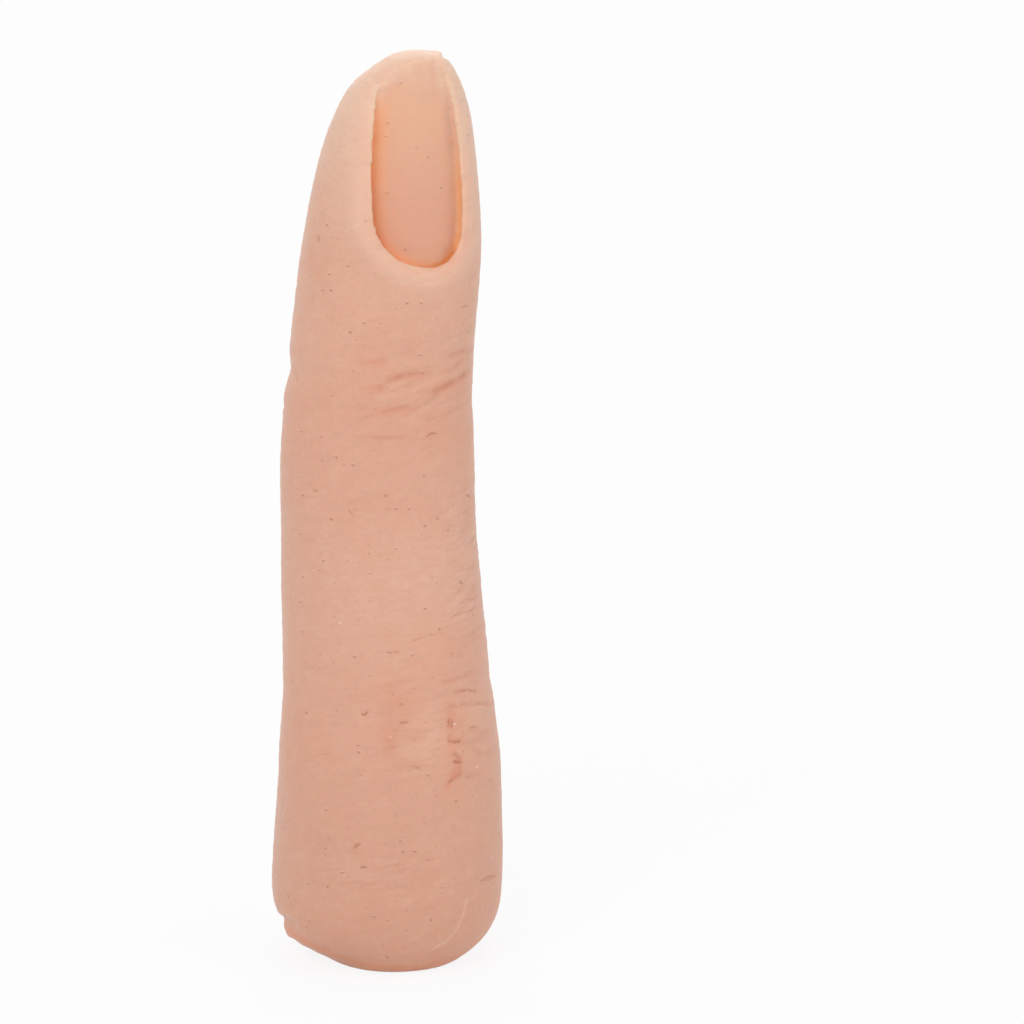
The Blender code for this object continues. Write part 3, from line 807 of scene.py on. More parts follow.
def palm_creases(places, normals):
    """Flexion creases on the palm side of both knuckles, none of them quite straight."""
    palm = ease(normals[:, 1], *FACES_PALM)
    across, _, height = (places / MM).T
    size_across, size_up = PALM_SWAY_SIZE
    spots = np.column_stack([across / size_across, height / size_up, np.zeros(len(places))])
    slow, quick = PALM_SWAY
    step, other_step = PALM_NOISE_STEPS
    strength, swing = PALM_STRENGTH
    move = np.zeros(len(places))
    red = np.zeros(len(places))
    for number, (middle, bow, width, depth) in enumerate(PALM_CREASES):
        sway = slow * soft_noise(spots + number * step) + quick * soft_noise(3 * spots + number)
        shown = palm * (strength + swing * soft_noise(2 * spots - number * other_step))
        gap = height - middle - bow * across ** 2 - sway
        hollow, rim = crease_profile(gap, width, PALM_CREASE_RIM)
        move += depth * (rim - hollow) * shown
        red = np.maximum(red, hollow * shown * min(1.0, depth / FULL_SHADE_PALM_CREASE_DEPTH))
    return move, red


def swellings(normals, facing, right, up):
    """The low swellings, and the small steps in the outline."""
    move = np.zeros(len(normals))
    for pixel, half_width, half_height, rise in SWELLINGS:
        move += rise * soft_spot(right, up, pixel, half_width, half_height) * facing
    sideways = normals @ np.array(VIEW_RIGHT)
    for pixel, half_height, rise in OUTLINE_STEPS:
        middle = photo_point(pixel)
        side = ease(sideways * math.copysign(1, middle[0]), *FACES_SIDEWAYS)
        move += rise * bump_shape((up - middle[1]) / half_height, 1.0) * side
    return move


def edge_strokes(right, up):
    """The small steps and corners in the outline of the base and the fingertip."""
    move = np.zeros(len(right))
    for pixels, half_width, rise in EDGE_STROKES:
        gap, _ = distance_to_stroke(right, up, pixels)
        move += rise * bump_shape(gap, half_width)
    return move


def fine_lines(places):
    """Fine lines that run round the finger and rise to the right, between -1 and 1."""
    wander = soft_noise(places / LINE_WANDER_SIZE)[:, None] * LINE_WANDER
    slanted = places - places[:, :1] * np.array((0, 0, LINE_SLANT))
    lines = soft_noise(slanted / LINE_CELL + wander)
    finer = soft_noise(slanted / FINER_LINE_CELL - wander)
    return LINE_SHARES[0] * lines + LINE_SHARES[1] * finer


def slow_wander(places):
    """Slow uneven swells, so that no stretch is a perfect loft."""
    x, y, z = (places / MM).T
    sway, sway_run = WANDER_SWAY
    rise = np.zeros(len(places))
    for number, (run_x, run_y, run_z, start) in enumerate(WANDER_WAVES):
        swayed = sway * np.sin(sway_run * x) if number == 0 else 0.0
        rise += np.sin(run_x * x + run_y * y + run_z * z + swayed + start)
    return WANDER_RISE * rise


def depth_below(tree, places):
    """How far each point lies inside the uncut finger, in millimetres."""
    depth = np.zeros(len(places))
    for index, place in enumerate(places):
        spot, normal, _, distance = tree.find_nearest(Vector(place))
        depth[index] = distance / MM if (spot - Vector(place)).dot(normal) > 0 else 0.0
    return depth


def nail_marks(places, recess):
    """The nail bed's painted shade, the painted glow at its two sides that stands for light coming
    through the silicone into the shaded groove, and the raised folds round the slot, which also
    carry a painted highlight.
    """
    across, up, _ = in_nail_frame(places)
    gap = gap_to_outline(across, up)
    on_nail_side = places[:, 1] < 0
    sunk = ease(recess, *BED_SUNK) * on_nail_side * (up > BED_STARTS)
    is_left = 1 - ease(across, *GLOW_SIDES)
    inward = np.maximum(-gap, 0.0)
    cuticle_share = LEFT_GLOW_AT_CUTICLE
    left_reach = LEFT_GLOW * (cuticle_share + (1 - cuticle_share) * ease(up, *LEFT_GLOW_FULL))
    left = np.clip(1 - inward / left_reach, 0, 1) * (1 - ease(up, *LEFT_GLOW_FADES))
    right = np.clip(1 - inward / RIGHT_GLOW, 0, 1) * (1 - ease(up, *RIGHT_GLOW_FADES))
    outside = on_nail_side * (1 - ease(recess, *FOLD_OFF_BED)) * ease(gap, *FOLD_OUTSIDE)
    fold = bump_shape(gap - FOLD_AWAY, FOLD_WIDTH) * (1 - ease(up, *FOLD_FADES))
    return {
        "bed": sunk * ease(-gap, *BED_INWARD) * (1 - BED_FADED * ease(up, *BED_FADES)),
        "left_painted_glow": sunk * left * is_left,
        "right_painted_glow": sunk * right * (1 - is_left),
        "fold": fold * outside,
    }


def foot_rim_glow(places, normals):
    """Painted light at the edge of the cut base, where light comes through: a thin band round the
    foot.
    """
    across, towards_palm, height = (places / MM).T
    below = 1 - ease(height, *CUT_EDGE_BELOW_HEIGHTS)
    below = CUT_EDGE_BELOW * below * ease(-normals[:, 2], *FACES_DOWN)
    places_across, heights, strengths = zip(*CUT_EDGE)
    gap = height - np.interp(across, places_across, heights)
    band = bump_shape(gap, CUT_EDGE_HALF_WIDTH) * np.interp(across, places_across, strengths)
    band *= 1 - CUT_EDGE_LOST_ON_PALM * ease(towards_palm, *CUT_EDGE_FADES_TO_PALM)
    return np.maximum(below, band * (1 - ease(normals[:, 2], *FACES_UP)))


def colour_marks(places, normals, facing, right, up):
    """The marks that change the skin's look, and not its form. The pale ones are painted
    highlights, and the rim at the foot is painted light.
    """
    height = places[:, 2] / MM
    strength, swing, grain = FLUSH_UNEVEN
    uneven = strength + swing * soft_noise(places / (grain * MM))
    red_strokes = strokes(FLUSH_STROKES, right, up) * uneven
    on_pad = ease(height, *PAD_STARTS) * (1 - ease(height, *PAD_ENDS))
    return {
        "flush": np.maximum(patches(FLUSHES, right, up), red_strokes) * facing,
        "pale": patches(PAINTED_HIGHLIGHT_PATCHES, right, up) * facing,
        "scratch": strokes(SCRATCHES, right, up) * facing,
        "finger_pad": ease(normals[:, 1], *PAD_FACES_PALM) * on_pad,
        "foot_rim_glow": foot_rim_glow(places, normals),
    }


def sculpt(skin, uncut):
    """Moves the skin's points along their normals, and stores what the material reads."""
    mesh = skin.data
    places = read_rows(mesh.vertices, "co")
    normals = read_rows(mesh.vertex_normals, "vector")
    right, up = on_photo_plane(places)
    facing = ease(normals @ np.array(VIEW_BACK), *FACES_CAMERA)
    front_move, front_crease_shade = front_creases(places, facing, right, up)
    palm_move, palm_crease_shade = palm_creases(places, normals)
    marks = nail_marks(places, depth_below(uncut, places))
    marks["crease"] = np.maximum(front_crease_shade, palm_crease_shade)
    marks["nick"] = strokes(NICKS, right, up) * facing
    lined = np.maximum(patches(LINED_SKIN, right, up), LINES_ELSEWHERE)
    marks["lined"] = (1 - LINES_LOST_ON_BED * marks["bed"]) * lined
    marks["skin_lines"] = marks["lined"] * fine_lines(places)
    move = front_move + palm_move + swellings(normals, facing, right, up)
    move += edge_strokes(right, up) + slow_wander(places)
    move += FINE_LINE_DEPTH * marks["skin_lines"]
    move += FOLD_RISE * marks["fold"] - NICK_DEPTH * marks["nick"]
    move *= ease(places[:, 2] / MM, *FOOT_KEPT)
    places = places + normals * (move * MM)[:, None]
    mesh.vertices.foreach_set("co", places.ravel())
    mesh.update()
    marks.update(colour_marks(places, normals, facing, right, up))
    for name in SKIN_MARKS:
        store(mesh, name, marks[name])
    store(mesh, "rest_place", places)


# Smoothing of the skin after its remesh: the factor, the rounds everywhere, the least weight that
# counts, and how far out of the bed's middle line the front of the finger starts
SMOOTHING = 0.5
ROUNDS_ALL_OVER = 3
LEAST_WEIGHT = 0.01
FRONT_STARTS = (-2.6, -2.2)

# Smoothing of the slot's edge, of its left edge near the tip, and of the bed's end, each with its
# rounds: the reach from the nail's outline, and the places up and across it, in millimetres
SLOT_EDGE_REACH = 0.6
SLOT_EDGE_STARTS = -2.0
SLOT_EDGE_ROUNDS = 8
LEFT_EDGE_REACH = 0.9
LEFT_EDGE_COMES_IN = (NAIL_LENGTH - 3.6, NAIL_LENGTH - 1.6)
LEFT_EDGE_ROUNDS = 20
BED_END_COMES_IN = (NAIL_LENGTH - 2.8, NAIL_LENGTH - 1.4)
BED_END_SIDES = (1.8, 2.8)
BED_END_ROUNDS = 16


def soften(skin, weights, rounds):
    """Smooths the part of the skin that has a weight."""
    group = skin.vertex_groups.new(name="soft_part")
    for index in np.nonzero(weights > LEAST_WEIGHT)[0]:
        group.add([int(index)], float(weights[index]), "REPLACE")
    apply_modifier(
        skin, "SMOOTH", factor=SMOOTHING, iterations=rounds, vertex_group="soft_part"
    )
    skin.vertex_groups.clear()


def near_outline(across, up, out, reach):
    """How near each point of the front lies to the nail's outline."""
    return bump_shape(gap_to_outline(across, up), reach) * ease(out, *FRONT_STARTS)


def soften_slot_edge(skin):
    """Takes the steps of the remesh out of the slot's edge."""
    across, up, out = in_nail_frame(read_rows(skin.data.vertices, "co"))
    near = near_outline(across, up, out, SLOT_EDGE_REACH)
    soften(skin, near * (up > SLOT_EDGE_STARTS), SLOT_EDGE_ROUNDS)


def soften_bed_end(skin):
    """Rounds the edge where the nail bed runs out over the top of the fingertip."""
    across, up, _ = in_nail_frame(read_rows(skin.data.vertices, "co"))
    in_middle = 1 - ease(np.abs(across), *BED_END_SIDES)
    soften(skin, ease(up, *BED_END_COMES_IN) * in_middle, BED_END_ROUNDS)


def soften_left_edge(skin):
    """Lets the slot's left edge fade out towards the tip."""
    across, up, out = in_nail_frame(read_rows(skin.data.vertices, "co"))
    near = near_outline(across, up, out, LEFT_EDGE_REACH)
    soften(skin, near * ease(up, *LEFT_EDGE_COMES_IN) * (across < 0), LEFT_EDGE_ROUNDS)


def make_skin():
    """The whole silicone casting as one closed skin."""
    skin = loft_rings("finger_skin", SKIN_RINGS, RING_SIDES)
    closed_outwards(skin)
    apply_modifier(skin, "SUBSURF", levels=ROUNDING_LEVELS, render_levels=ROUNDING_LEVELS)
    uncut = BVHTree.FromObject(skin, bpy.context.evaluated_depsgraph_get())
    cut_nail_slot(skin)
    apply_modifier(skin, "REMESH", mode="VOXEL", voxel_size=VOXEL, adaptivity=0.0)
    apply_modifier(skin, "SMOOTH", factor=SMOOTHING, iterations=ROUNDS_ALL_OVER)
    soften_slot_edge(skin)
    soften_bed_end(skin)
    soften_left_edge(skin)
    sculpt(skin, uncut)
    return skin


def half_of_skin(whole, name, keep_below):
    """A copy of the skin, cut across the middle segment and capped there."""
    piece = whole.copy()
    piece.data = whole.data.copy()
    piece.name = name
    bpy.context.scene.collection.objects.link(piece)
    edit_all(piece)
    bpy.ops.mesh.bisect(
        plane_co=(0, 0, SPLIT_HEIGHT),
        plane_no=(0, 0, 1),
        use_fill=True,
        clear_outer=keep_below,
        clear_inner=not keep_below,
    )
    bpy.ops.mesh.select_all(action="SELECT")
    bpy.ops.mesh.remove_doubles(threshold=SLIVER)
    leave_edit()
    smooth_but_sharp_over(piece, SKIN_SHARP_ANGLE)
    return piece


# Core wires: sides, distance between rings, and the height of the eased ends and their width share
WIRE_SIDES = 20
WIRE_STEP = 1.0 * MM
WIRE_END_HEIGHT = 0.3 * MM
WIRE_END_SHARE = 0.75


def make_wire(name, node_box):
    """A round wire drawn up ring by ring, with eased ends, so that it can bend."""
    low, high = (corner.z for corner in node_box)
    heights = [low, low + WIRE_END_HEIGHT]
    while heights[-1] + WIRE_STEP < high - WIRE_END_HEIGHT:
        heights.append(heights[-1] + WIRE_STEP)
    heights += [high - WIRE_END_HEIGHT, high]
    rings = []
    for height in heights:
        share = WIRE_END_SHARE if height in (low, high) else 1.0
        width = 2 * WIRE_RADIUS / MM * share
        rings.append((height / MM, width, width / 2, width / 2, 0))
    wire = loft_rings(name, rings, WIRE_SIDES)
    closed_outwards(wire)
    smooth_but_sharp_over(wire, WIRE_SHARP_ANGLE)
    store(wire.data, "rest_place", read_rows(wire.data.vertices, "co"))
    return wire


# Materials
def linear(hex_colour):
    """An sRGB hex colour as linear RGBA."""
    channels = [int(hex_colour[i:i + 2], 16) / 255 for i in (1, 3, 5)]
    return (*[c / 12.92 if c <= 0.04045 else ((c + 0.055) / 1.055) ** 2.4 for c in channels], 1.0)


def add(tree, kind, settings=None, links=None):
    """Adds a node. Its sockets go by name, or by number where two have the same name."""
    node = tree.nodes.new(kind)
    for name, value in (settings or {}).items():
        if isinstance(name, int) or name in node.inputs:
            node.inputs[name].default_value = value
        else:
            setattr(node, name, value)
    for name, source in (links or {}).items():
        tree.links.new(source, node.inputs[name])
    return node


def new_material(name):
    """A material with its tree and its Principled shader."""
    material = bpy.data.materials.new(name)
    material.use_nodes = True
    return material, material.node_tree, material.node_tree.nodes["Principled BSDF"]


def finish_shader(tree, shader, settings, links):
    """Sets the shader's own sockets, and links those that vary over the surface."""
    for socket, value in settings.items():
        shader.inputs[socket].default_value = value
    for socket, source in links.items():
        tree.links.new(source, shader.inputs[socket])


def lay_tints(tree, ground, tints):
    """Lays tints on a ground colour: each has its mask, the mask's range, strength and colour."""
    settings, links = {6: linear(ground)}, {}
    for mask, none_at, full_at, strength, tint in tints:
        limits = {"From Min": none_at, "From Max": full_at, "To Max": strength}
        share = add(tree, "ShaderNodeMapRange", limits, {"Value": mask}).outputs["Result"]
        settings = {"data_type": "RGBA", 7: linear(tint), **settings}
        colour = add(tree, "ShaderNodeMix", settings, {0: share, **links}).outputs[2]
        settings, links = {}, {6: colour}
    return colour


# The silicone's ground colour, and the tints on it in order: mask, the mask's value where there
# is none and where it is full, strength and colour
SKIN_GROUND = "#DBA890"
SKIN_TINTS = (
    # The height tints are painted light: browner towards the base and paler towards the tip, as the
    # light falls from above.
    ("height", 4 * MM, 30 * MM, 1.0, "#E1AD95"),
    ("height", 44 * MM, 58 * MM, 1.0, "#E4B299"),
    ("height", 60 * MM, 75 * MM, 1.0, "#EDC9B0"),
    ("cloud", 0.47, 0.73, 0.40, "#DDA389"),
    ("coarse", 0.50, 0.78, 0.18, "#EFC8B0"),
    ("fine", 0.50, 0.78, 0.22, "#CF9880"),
    ("flush", 0.0, 1.0, 0.50, "#DE8A62"),
    # The pale tint is a painted highlight on the swellings and the fold's crescent.
    ("pale", 0.0, 1.0, 0.45, "#EAC0A4"),
    ("scratch", 0.0, 1.0, 0.32, "#F6DCC6"),
    # The crease tint is painted shade in the creases' hollows.
    ("crease", 0.0, 1.0, 0.44, "#C9795A"),
    ("ragged_nick", 0.16, 0.46, 0.50, "#A8593E"),
    # The creped tints are painted shade in each fine line and a painted highlight beside it.
    ("crepe", -0.02, -0.16, 0.17, "#C4876C"),
    ("crepe", 0.02, 0.16, 0.12, "#F4D6C2"),
    # The bed tint is painted shade in the sunk nail bed.
    ("bed", 0.0, 1.0, 0.62, "#E2A98E"),
    # The pit tint is painted shade in each small dent, and the lip tint a painted highlight.
    ("pits", 0.0, 1.0, 0.36, "#A05C42"),
    ("pit_lip_highlights", 0.0, 1.0, 0.40, "#F4D8C6"),
    ("grains", 0.0, 1.0, 0.32, "#A46A54"),
    ("chalk", 0.0, 1.0, 0.55, "#F8E2D2"),
    # More painted shade in the nail bed, then painted light on the bed's upper end.
    ("bed", 0.0, 1.0, 0.60, "#E2A98E"),
    ("bed_top_painted_light", 0.0, 1.0, 0.85, "#EDBC9C"),
    # The two glow tints are painted light coming through the folds, laid over the shade in the
    # groove.
    ("left_painted_glow", 0.0, 1.0, 0.88, "#FDB781"),
    ("right_painted_glow", 0.0, 1.0, 0.95, "#F2B379"),
    # The fold tint is a painted highlight on the raised folds.
    ("fold", 0.0, 1.0, 0.50, "#EDC7B0"),
    # The rim tint is painted light coming through the edge of the cut base.
    ("foot_rim_glow", 0.0, 1.0, 0.65, "#E58F62"),
    # The skin-line tints are painted shade in their grooves and a painted highlight on their
    # ridges.
    ("skin_lines", -0.05, -0.60, 0.30, "#C98C72"),
    ("skin_lines", 0.10, 0.70, 0.16, "#F3D2BD"),
)

# The silicone's relief: mask and share, and the height of the whole in metres
SKIN_RELIEF = (
    ("lines", 0.7),
    ("pores", 0.25),
    ("ridges", 0.5),
    ("pits", -0.8),
    ("crepe", 0.7),
)
RELIEF_HEIGHT = 0.12 * MM

# Sizes of the pigment's mottling, in millimetres
PIGMENT_SIZES = (("cloud", 5.0), ("coarse", 1.1), ("fine", 0.45))

# Specks in the silicone, in millimetres: name, spacing, size, share of the cells, and how far the
# pattern is moved up. The pits are painted shade in small dents, and a pale one, a painted
# highlight on the pit's lip, lies under each dark one.
# The real ones go down to 0.05 mm, and are drawn at 0.09 mm and over so that they show.
SPECKS = (
    ("pits", 0.80, 0.125, 0.28, 0.0),
    ("pit_lip_highlights", 0.80, 0.12, 0.18, 0.13),
    ("grains", 0.60, 0.10, 0.34, 0.4),
    ("chalk", 1.30, 0.13, 0.12, 0.7),
)
SPECK_STRETCH = (0.7, 0.7, 1.0)
# A speck is solid over this share of its size, and noise of such a size and reach makes it ragged
SPECK_CORE = 0.3
SPECK_SHAKE_SIZE = 0.12
SPECK_SHAKE = 0.18 * MM

# Creped lines: spacing in millimetres, stretch along them, and their turn, rising to the right
CREPE_SPACING = 0.34
CREPE_STRETCH = (5.0, 5.0, 1.0)
CREPE_TURN = (math.radians(5), math.radians(-11), 0.0)

# Relief and gloss, in millimetres: the grain that breaks up the nicks, the lines across the finger
# with their squash and turn, the pores, the fingerprint's ridges round the middle of the pad, the
# patches of gloss, and the heights over which painted light makes the bed paler
NICK_GRAIN = 0.16
LINE_SPACING = 0.9
LINE_SQUASH = (0.35, 0.35, 1.6)
LINE_TURN = (0.0, math.radians(12), 0.0)
PORE_SPACING = 0.45
RIDGE_SPACING = 0.5
PAD_MIDDLE = 62
GLOSS_PATCH = 2.5
BED_TOP_HEIGHTS = (64, 73)
# Blender's wave texture goes through this many radians in one unit
WAVE_RADIANS = 20

# How much light goes into the silicone and how far, and the distances in millimetres from the seam
# over which it comes back to that
SCATTER_SHARE = 0.5
SCATTER_DEPTH = 1.6 * MM
SEAM_REACH = (1.5, 8)

# Settings of the Math node that multiplies two masks
MULTIPLY = {"operation": "MULTIPLY"}


def specks(tree, place, spacing, size, share):
    """A mask of small spots: one to a cell of the spacing, in the given share of the cells."""
    cells = add(tree, "ShaderNodeTexVoronoi", {"Scale": 1 / (spacing * MM)}, {"Vector": place})
    reach = size / spacing
    limits = {"From Min": SPECK_CORE * reach, "From Max": reach, "To Min": 1.0, "To Max": 0.0}
    spot = add(tree, "ShaderNodeMapRange", limits, {"Value": cells.outputs["Distance"]})
    picked = add(tree, "ShaderNodeSeparateColor", None, {"Color": cells.outputs["Color"]})
    in_share = {"operation": "LESS_THAN", 1: share}
    here = add(tree, "ShaderNodeMath", in_share, {0: picked.outputs[0]})
    both = {0: spot.outputs[0], 1: here.outputs[0]}
    return add(tree, "ShaderNodeMath", MULTIPLY, both).outputs[0]


def casting_specks(tree, place):
    """The mask of each row of SPECKS, with ragged outlines, and a little wider than high."""
    grain = {"Scale": 1 / (SPECK_SHAKE_SIZE * MM), "Detail": 1.0}
    shake = add(tree, "ShaderNodeTexNoise", grain, {"Vector": place}).outputs["Color"]
    shift = {"operation": "MULTIPLY_ADD", 1: (SPECK_SHAKE,) * 3}
    shaken = add(tree, "ShaderNodeVectorMath", shift, {0: shake, 2: place}).outputs["Vector"]
    masks = {}
    for name, spacing, size, share, moved_up in SPECKS:
        moved = {"Scale": SPECK_STRETCH, "Location": (0, 0, -moved_up * MM)}
        where = add(tree, "ShaderNodeMapping", moved, {"Vector": shaken}).outputs["Vector"]
        masks[name] = specks(tree, where, spacing, size, share)
    return masks


def crepe_lines(tree, place, lined):
    """Fine creped lines where the skin is lined: under nothing in a line, and over it beside."""
    slanted = {"vector_type": "TEXTURE", "Scale": CREPE_STRETCH, "Rotation": CREPE_TURN}
    where = add(tree, "ShaderNodeMapping", slanted, {"Vector": place}).outputs["Vector"]
    grain = {
        "Scale": 1 / (CREPE_SPACING * MM), "Detail": 2.0, "Roughness": 0.5, "Distortion": 0.3,
    }
    lines = add(tree, "ShaderNodeTexNoise", grain, {"Vector": where}).outputs["Fac"]
    both_ways = {"operation": "SUBTRACT", 1: 0.5}
    swing = add(tree, "ShaderNodeMath", both_ways, {0: lines}).outputs[0]
    return add(tree, "ShaderNodeMath", MULTIPLY, {0: swing, 1: lined}).outputs[0]


def ragged(tree, place, mark):
    """A mark with its outline broken up by fine noise, as a nick in silicone has."""
    grain = {"Scale": 1 / (NICK_GRAIN * MM), "Detail": 1.0}
    noise = add(tree, "ShaderNodeTexNoise", grain, {"Vector": place}).outputs["Fac"]
    return add(tree, "ShaderNodeMath", MULTIPLY, {0: noise, 1: mark}).outputs[0]


def moulded_lines(tree, place):
    """The skin's lines, which run across the finger."""
    across = {"Scale": LINE_SQUASH, "Rotation": LINE_TURN}
    where = add(tree, "ShaderNodeMapping", across, {"Vector": place}).outputs["Vector"]
    grain = {
        "Scale": 1 / (LINE_SPACING * MM), "Detail": 5.0, "Roughness": 0.6, "Distortion": 0.6,
    }
    return add(tree, "ShaderNodeTexNoise", grain, {"Vector": where}).outputs["Fac"]


def pad_ridges(tree, place, finger_pad):
    """The fingerprint's ridges, in rings round the middle of the finger pad."""
    middle = {"Location": (0, 0, -PAD_MIDDLE * MM)}
    where = add(tree, "ShaderNodeMapping", middle, {"Vector": place}).outputs["Vector"]
    rings = {
        "wave_type": "RINGS",
        "rings_direction": "Y",
        "Scale": math.tau / (WAVE_RADIANS * RIDGE_SPACING * MM),
        "Distortion": 5.0,
        "Detail": 1.0,
        "Detail Scale": 0.25,
    }
    ridges = add(tree, "ShaderNodeTexWave", rings, {"Vector": where}).outputs["Fac"]
    return add(tree, "ShaderNodeMath", MULTIPLY, {0: ridges, 1: finger_pad}).outputs[0]


def skin_masks(tree, place, height, marks):
    """All the masks that the skin's tints and relief read, by name."""
    masks = {**marks, **casting_specks(tree, place), "height": height}
    for name, size in PIGMENT_SIZES:
        grain = {"Scale": 1 / (size * MM), "Detail": 3.0, "Roughness": 0.55}
        cloud = add(tree, "ShaderNodeTexNoise", grain, {"Vector": place})
        masks[name] = cloud.outputs["Fac"]
    masks["crepe"] = crepe_lines(tree, place, marks["lined"])
    masks["ragged_nick"] = ragged(tree, place, marks["nick"])
    low, high = BED_TOP_HEIGHTS
    limits = {"From Min": low * MM, "From Max": high * MM}
    rise = add(tree, "ShaderNodeMapRange", limits, {"Value": height}).outputs["Result"]
    bed_top_painted_light = add(tree, "ShaderNodeMath", MULTIPLY, {0: marks["bed"], 1: rise})
    masks["bed_top_painted_light"] = bed_top_painted_light.outputs[0]
    masks["lines"] = moulded_lines(tree, place)
    pores = add(tree, "ShaderNodeTexVoronoi", {"Scale": 1 / (PORE_SPACING * MM)}, {"Vector": place})
    masks["pores"] = pores.outputs["Distance"]
    masks["ridges"] = pad_ridges(tree, place, marks["finger_pad"])
    return masks


def skin_colour(tree, masks):
    """Warm peach, with painted shade browning it towards the base and painted light paling it
    towards the tip, and with mottled pigment and marks.
    """
    return lay_tints(tree, SKIN_GROUND, [(masks[name], *rest) for name, *rest in SKIN_TINTS])


def skin_relief(tree, masks):
    """Pores, lines across the finger, pits and creped lines, and ridges on the finger pad."""
    under = {}
    for name, share in SKIN_RELIEF:
        settings = {"operation": "MULTIPLY_ADD", 1: share, 2: 0.0}
        total = add(tree, "ShaderNodeMath", settings, {0: masks[name], **under}).outputs[0]
        under = {2: total}
    depth = {"Strength": 0.8, "Distance": RELIEF_HEIGHT}
    return add(tree, "ShaderNodeBump", depth, {"Height": total}).outputs["Normal"]


def scatter_share(tree, height):
    """Light goes less deep near the seam between the two halves, so that it doesn't show."""
    gap = add(tree, "ShaderNodeMath", {"operation": "SUBTRACT", 1: SPLIT_HEIGHT}, {0: height})
    gap = add(tree, "ShaderNodeMath", {"operation": "ABSOLUTE"}, {0: gap.outputs[0]})
    near, far = SEAM_REACH
    limits = {"From Min": near * MM, "From Max": far * MM, "To Max": SCATTER_SHARE}
    return add(tree, "ShaderNodeMapRange", limits, {"Value": gap.outputs[0]}).outputs["Result"]


def silicone_skin():
    """Platinum-cure silicone cast in a mould of real skin: matte satin, warm peach, pores and fine
    lines in the surface, and small dark and pale specks in it, with painted shade in its small pits
    and a painted highlight on each pit's lip."""
    material, tree, shader = new_material("platinum_silicone_moulded_skin")
    place = add(tree, "ShaderNodeAttribute", {"attribute_name": "rest_place"}).outputs["Vector"]
    height = add(tree, "ShaderNodeSeparateXYZ", None, {"Vector": place}).outputs["Z"]
    marks = {
        name: add(tree, "ShaderNodeAttribute", {"attribute_name": name}).outputs["Fac"]
        for name in SKIN_MARKS
    }
    masks = skin_masks(tree, place, height, marks)
    grain = {"Scale": 1 / (GLOSS_PATCH * MM), "Detail": 2.0}
    gloss = add(tree, "ShaderNodeTexNoise", grain, {"Vector": place}).outputs["Fac"]
    satin = {"To Min": 0.50, "To Max": 0.62}
    roughness = add(tree, "ShaderNodeMapRange", satin, {"Value": gloss}).outputs["Result"]
    settings = {
        "Subsurface Radius": (1.0, 0.45, 0.25),
        "Subsurface Scale": SCATTER_DEPTH,
        "IOR": 1.41,
        "Specular IOR Level": 0.45,
        "Sheen Weight": 0.15,
        "Sheen Roughness": 0.4,
    }
    links = {
        "Base Color": skin_colour(tree, masks),
        "Normal": skin_relief(tree, masks),
        "Roughness": roughness,
        "Subsurface Weight": scatter_share(tree, height),
    }
    finish_shader(tree, shader, settings, links)
    return material


# Drawing lines of the wire: their spacing in millimetres, and how far they are stretched along it
DRAWING_LINES = 0.12
DRAWING_STRETCH = (1, 1, 0.04)


def drawn_aluminium():
    """Soft drawn aluminium wire: pale metal with fine lines along its length."""
    material, tree, shader = new_material("drawn_aluminium_wire")
    place = add(tree, "ShaderNodeAttribute", {"attribute_name": "rest_place"}).outputs["Vector"]
    stretched = {"Scale": DRAWING_STRETCH}
    along = add(tree, "ShaderNodeMapping", stretched, {"Vector": place}).outputs["Vector"]
    grain = {"Scale": 1 / (DRAWING_LINES * MM), "Detail": 3.0}
    lines = add(tree, "ShaderNodeTexNoise", grain, {"Vector": along}).outputs["Fac"]
    rough = add(tree, "ShaderNodeMapRange", {"To Min": 0.25, "To Max": 0.45}, {"Value": lines})
    links = {
        "Base Color": lay_tints(tree, "#C9CCD0", [(lines, 0.0, 1.0, 1.0, "#E4E6E8")]),
        "Roughness": rough.outputs["Result"],
    }
    finish_shader(tree, shader, {"Metallic": 1.0}, links)
    return material


# Finishes of the core's CAD nodes: name, two colours, grain in millimetres, roughness, metallic
# and nodes. The bones are moulded polyacetal, cloudy off-white and a little glossy. The plate is
# stamped steel with a zinc plating, pale grey and finely grained. The cap is moulded nitrile
# rubber, black and matte.
CORE_FINISHES = (
    ("moulded_polyacetal_bone", "#E6E2D6", "#EFECE3", 0.5, 0.42, 0.0,
     ("base_bone", "middle_bone", "tip_bone")),
    ("stamped_zinc_plated_steel", "#B9BDC2", "#D3D6D9", 0.25, 0.36, 1.0, ("anchor_plate",)),
    ("moulded_nitrile_rubber", "#1D1D1F", "#2A2A2D", 0.3, 0.6, 0.0, ("tip_cap",)),
)
GRAIN_GLOSS = 0.06
GRAIN_RELIEF = 0.03 * MM


def node_finish(name, first, second, grain_mm, roughness, metallic):
    """A moulded or stamped finish on a CAD node, with its grain in colour and in relief."""
    material, tree, shader = new_material(name)
    place = add(tree, "ShaderNodeTexCoord").outputs["Object"]
    fine = {"Scale": 1 / (grain_mm * MM), "Detail": 4.0}
    grain = add(tree, "ShaderNodeTexNoise", fine, {"Vector": place}).outputs["Fac"]
    limits = {"To Min": roughness - GRAIN_GLOSS, "To Max": roughness + GRAIN_GLOSS}
    rough = add(tree, "ShaderNodeMapRange", limits, {"Value": grain})
    depth = {"Strength": 0.2, "Distance": GRAIN_RELIEF}
    bump = add(tree, "ShaderNodeBump", depth, {"Height": grain})
    links = {
        "Base Color": lay_tints(tree, first, [(grain, 0.0, 1.0, 1.0, second)]),
        "Roughness": rough.outputs["Result"],
        "Normal": bump.outputs["Normal"],
    }
    finish_shader(tree, shader, {"Metallic": metallic}, links)
    return material


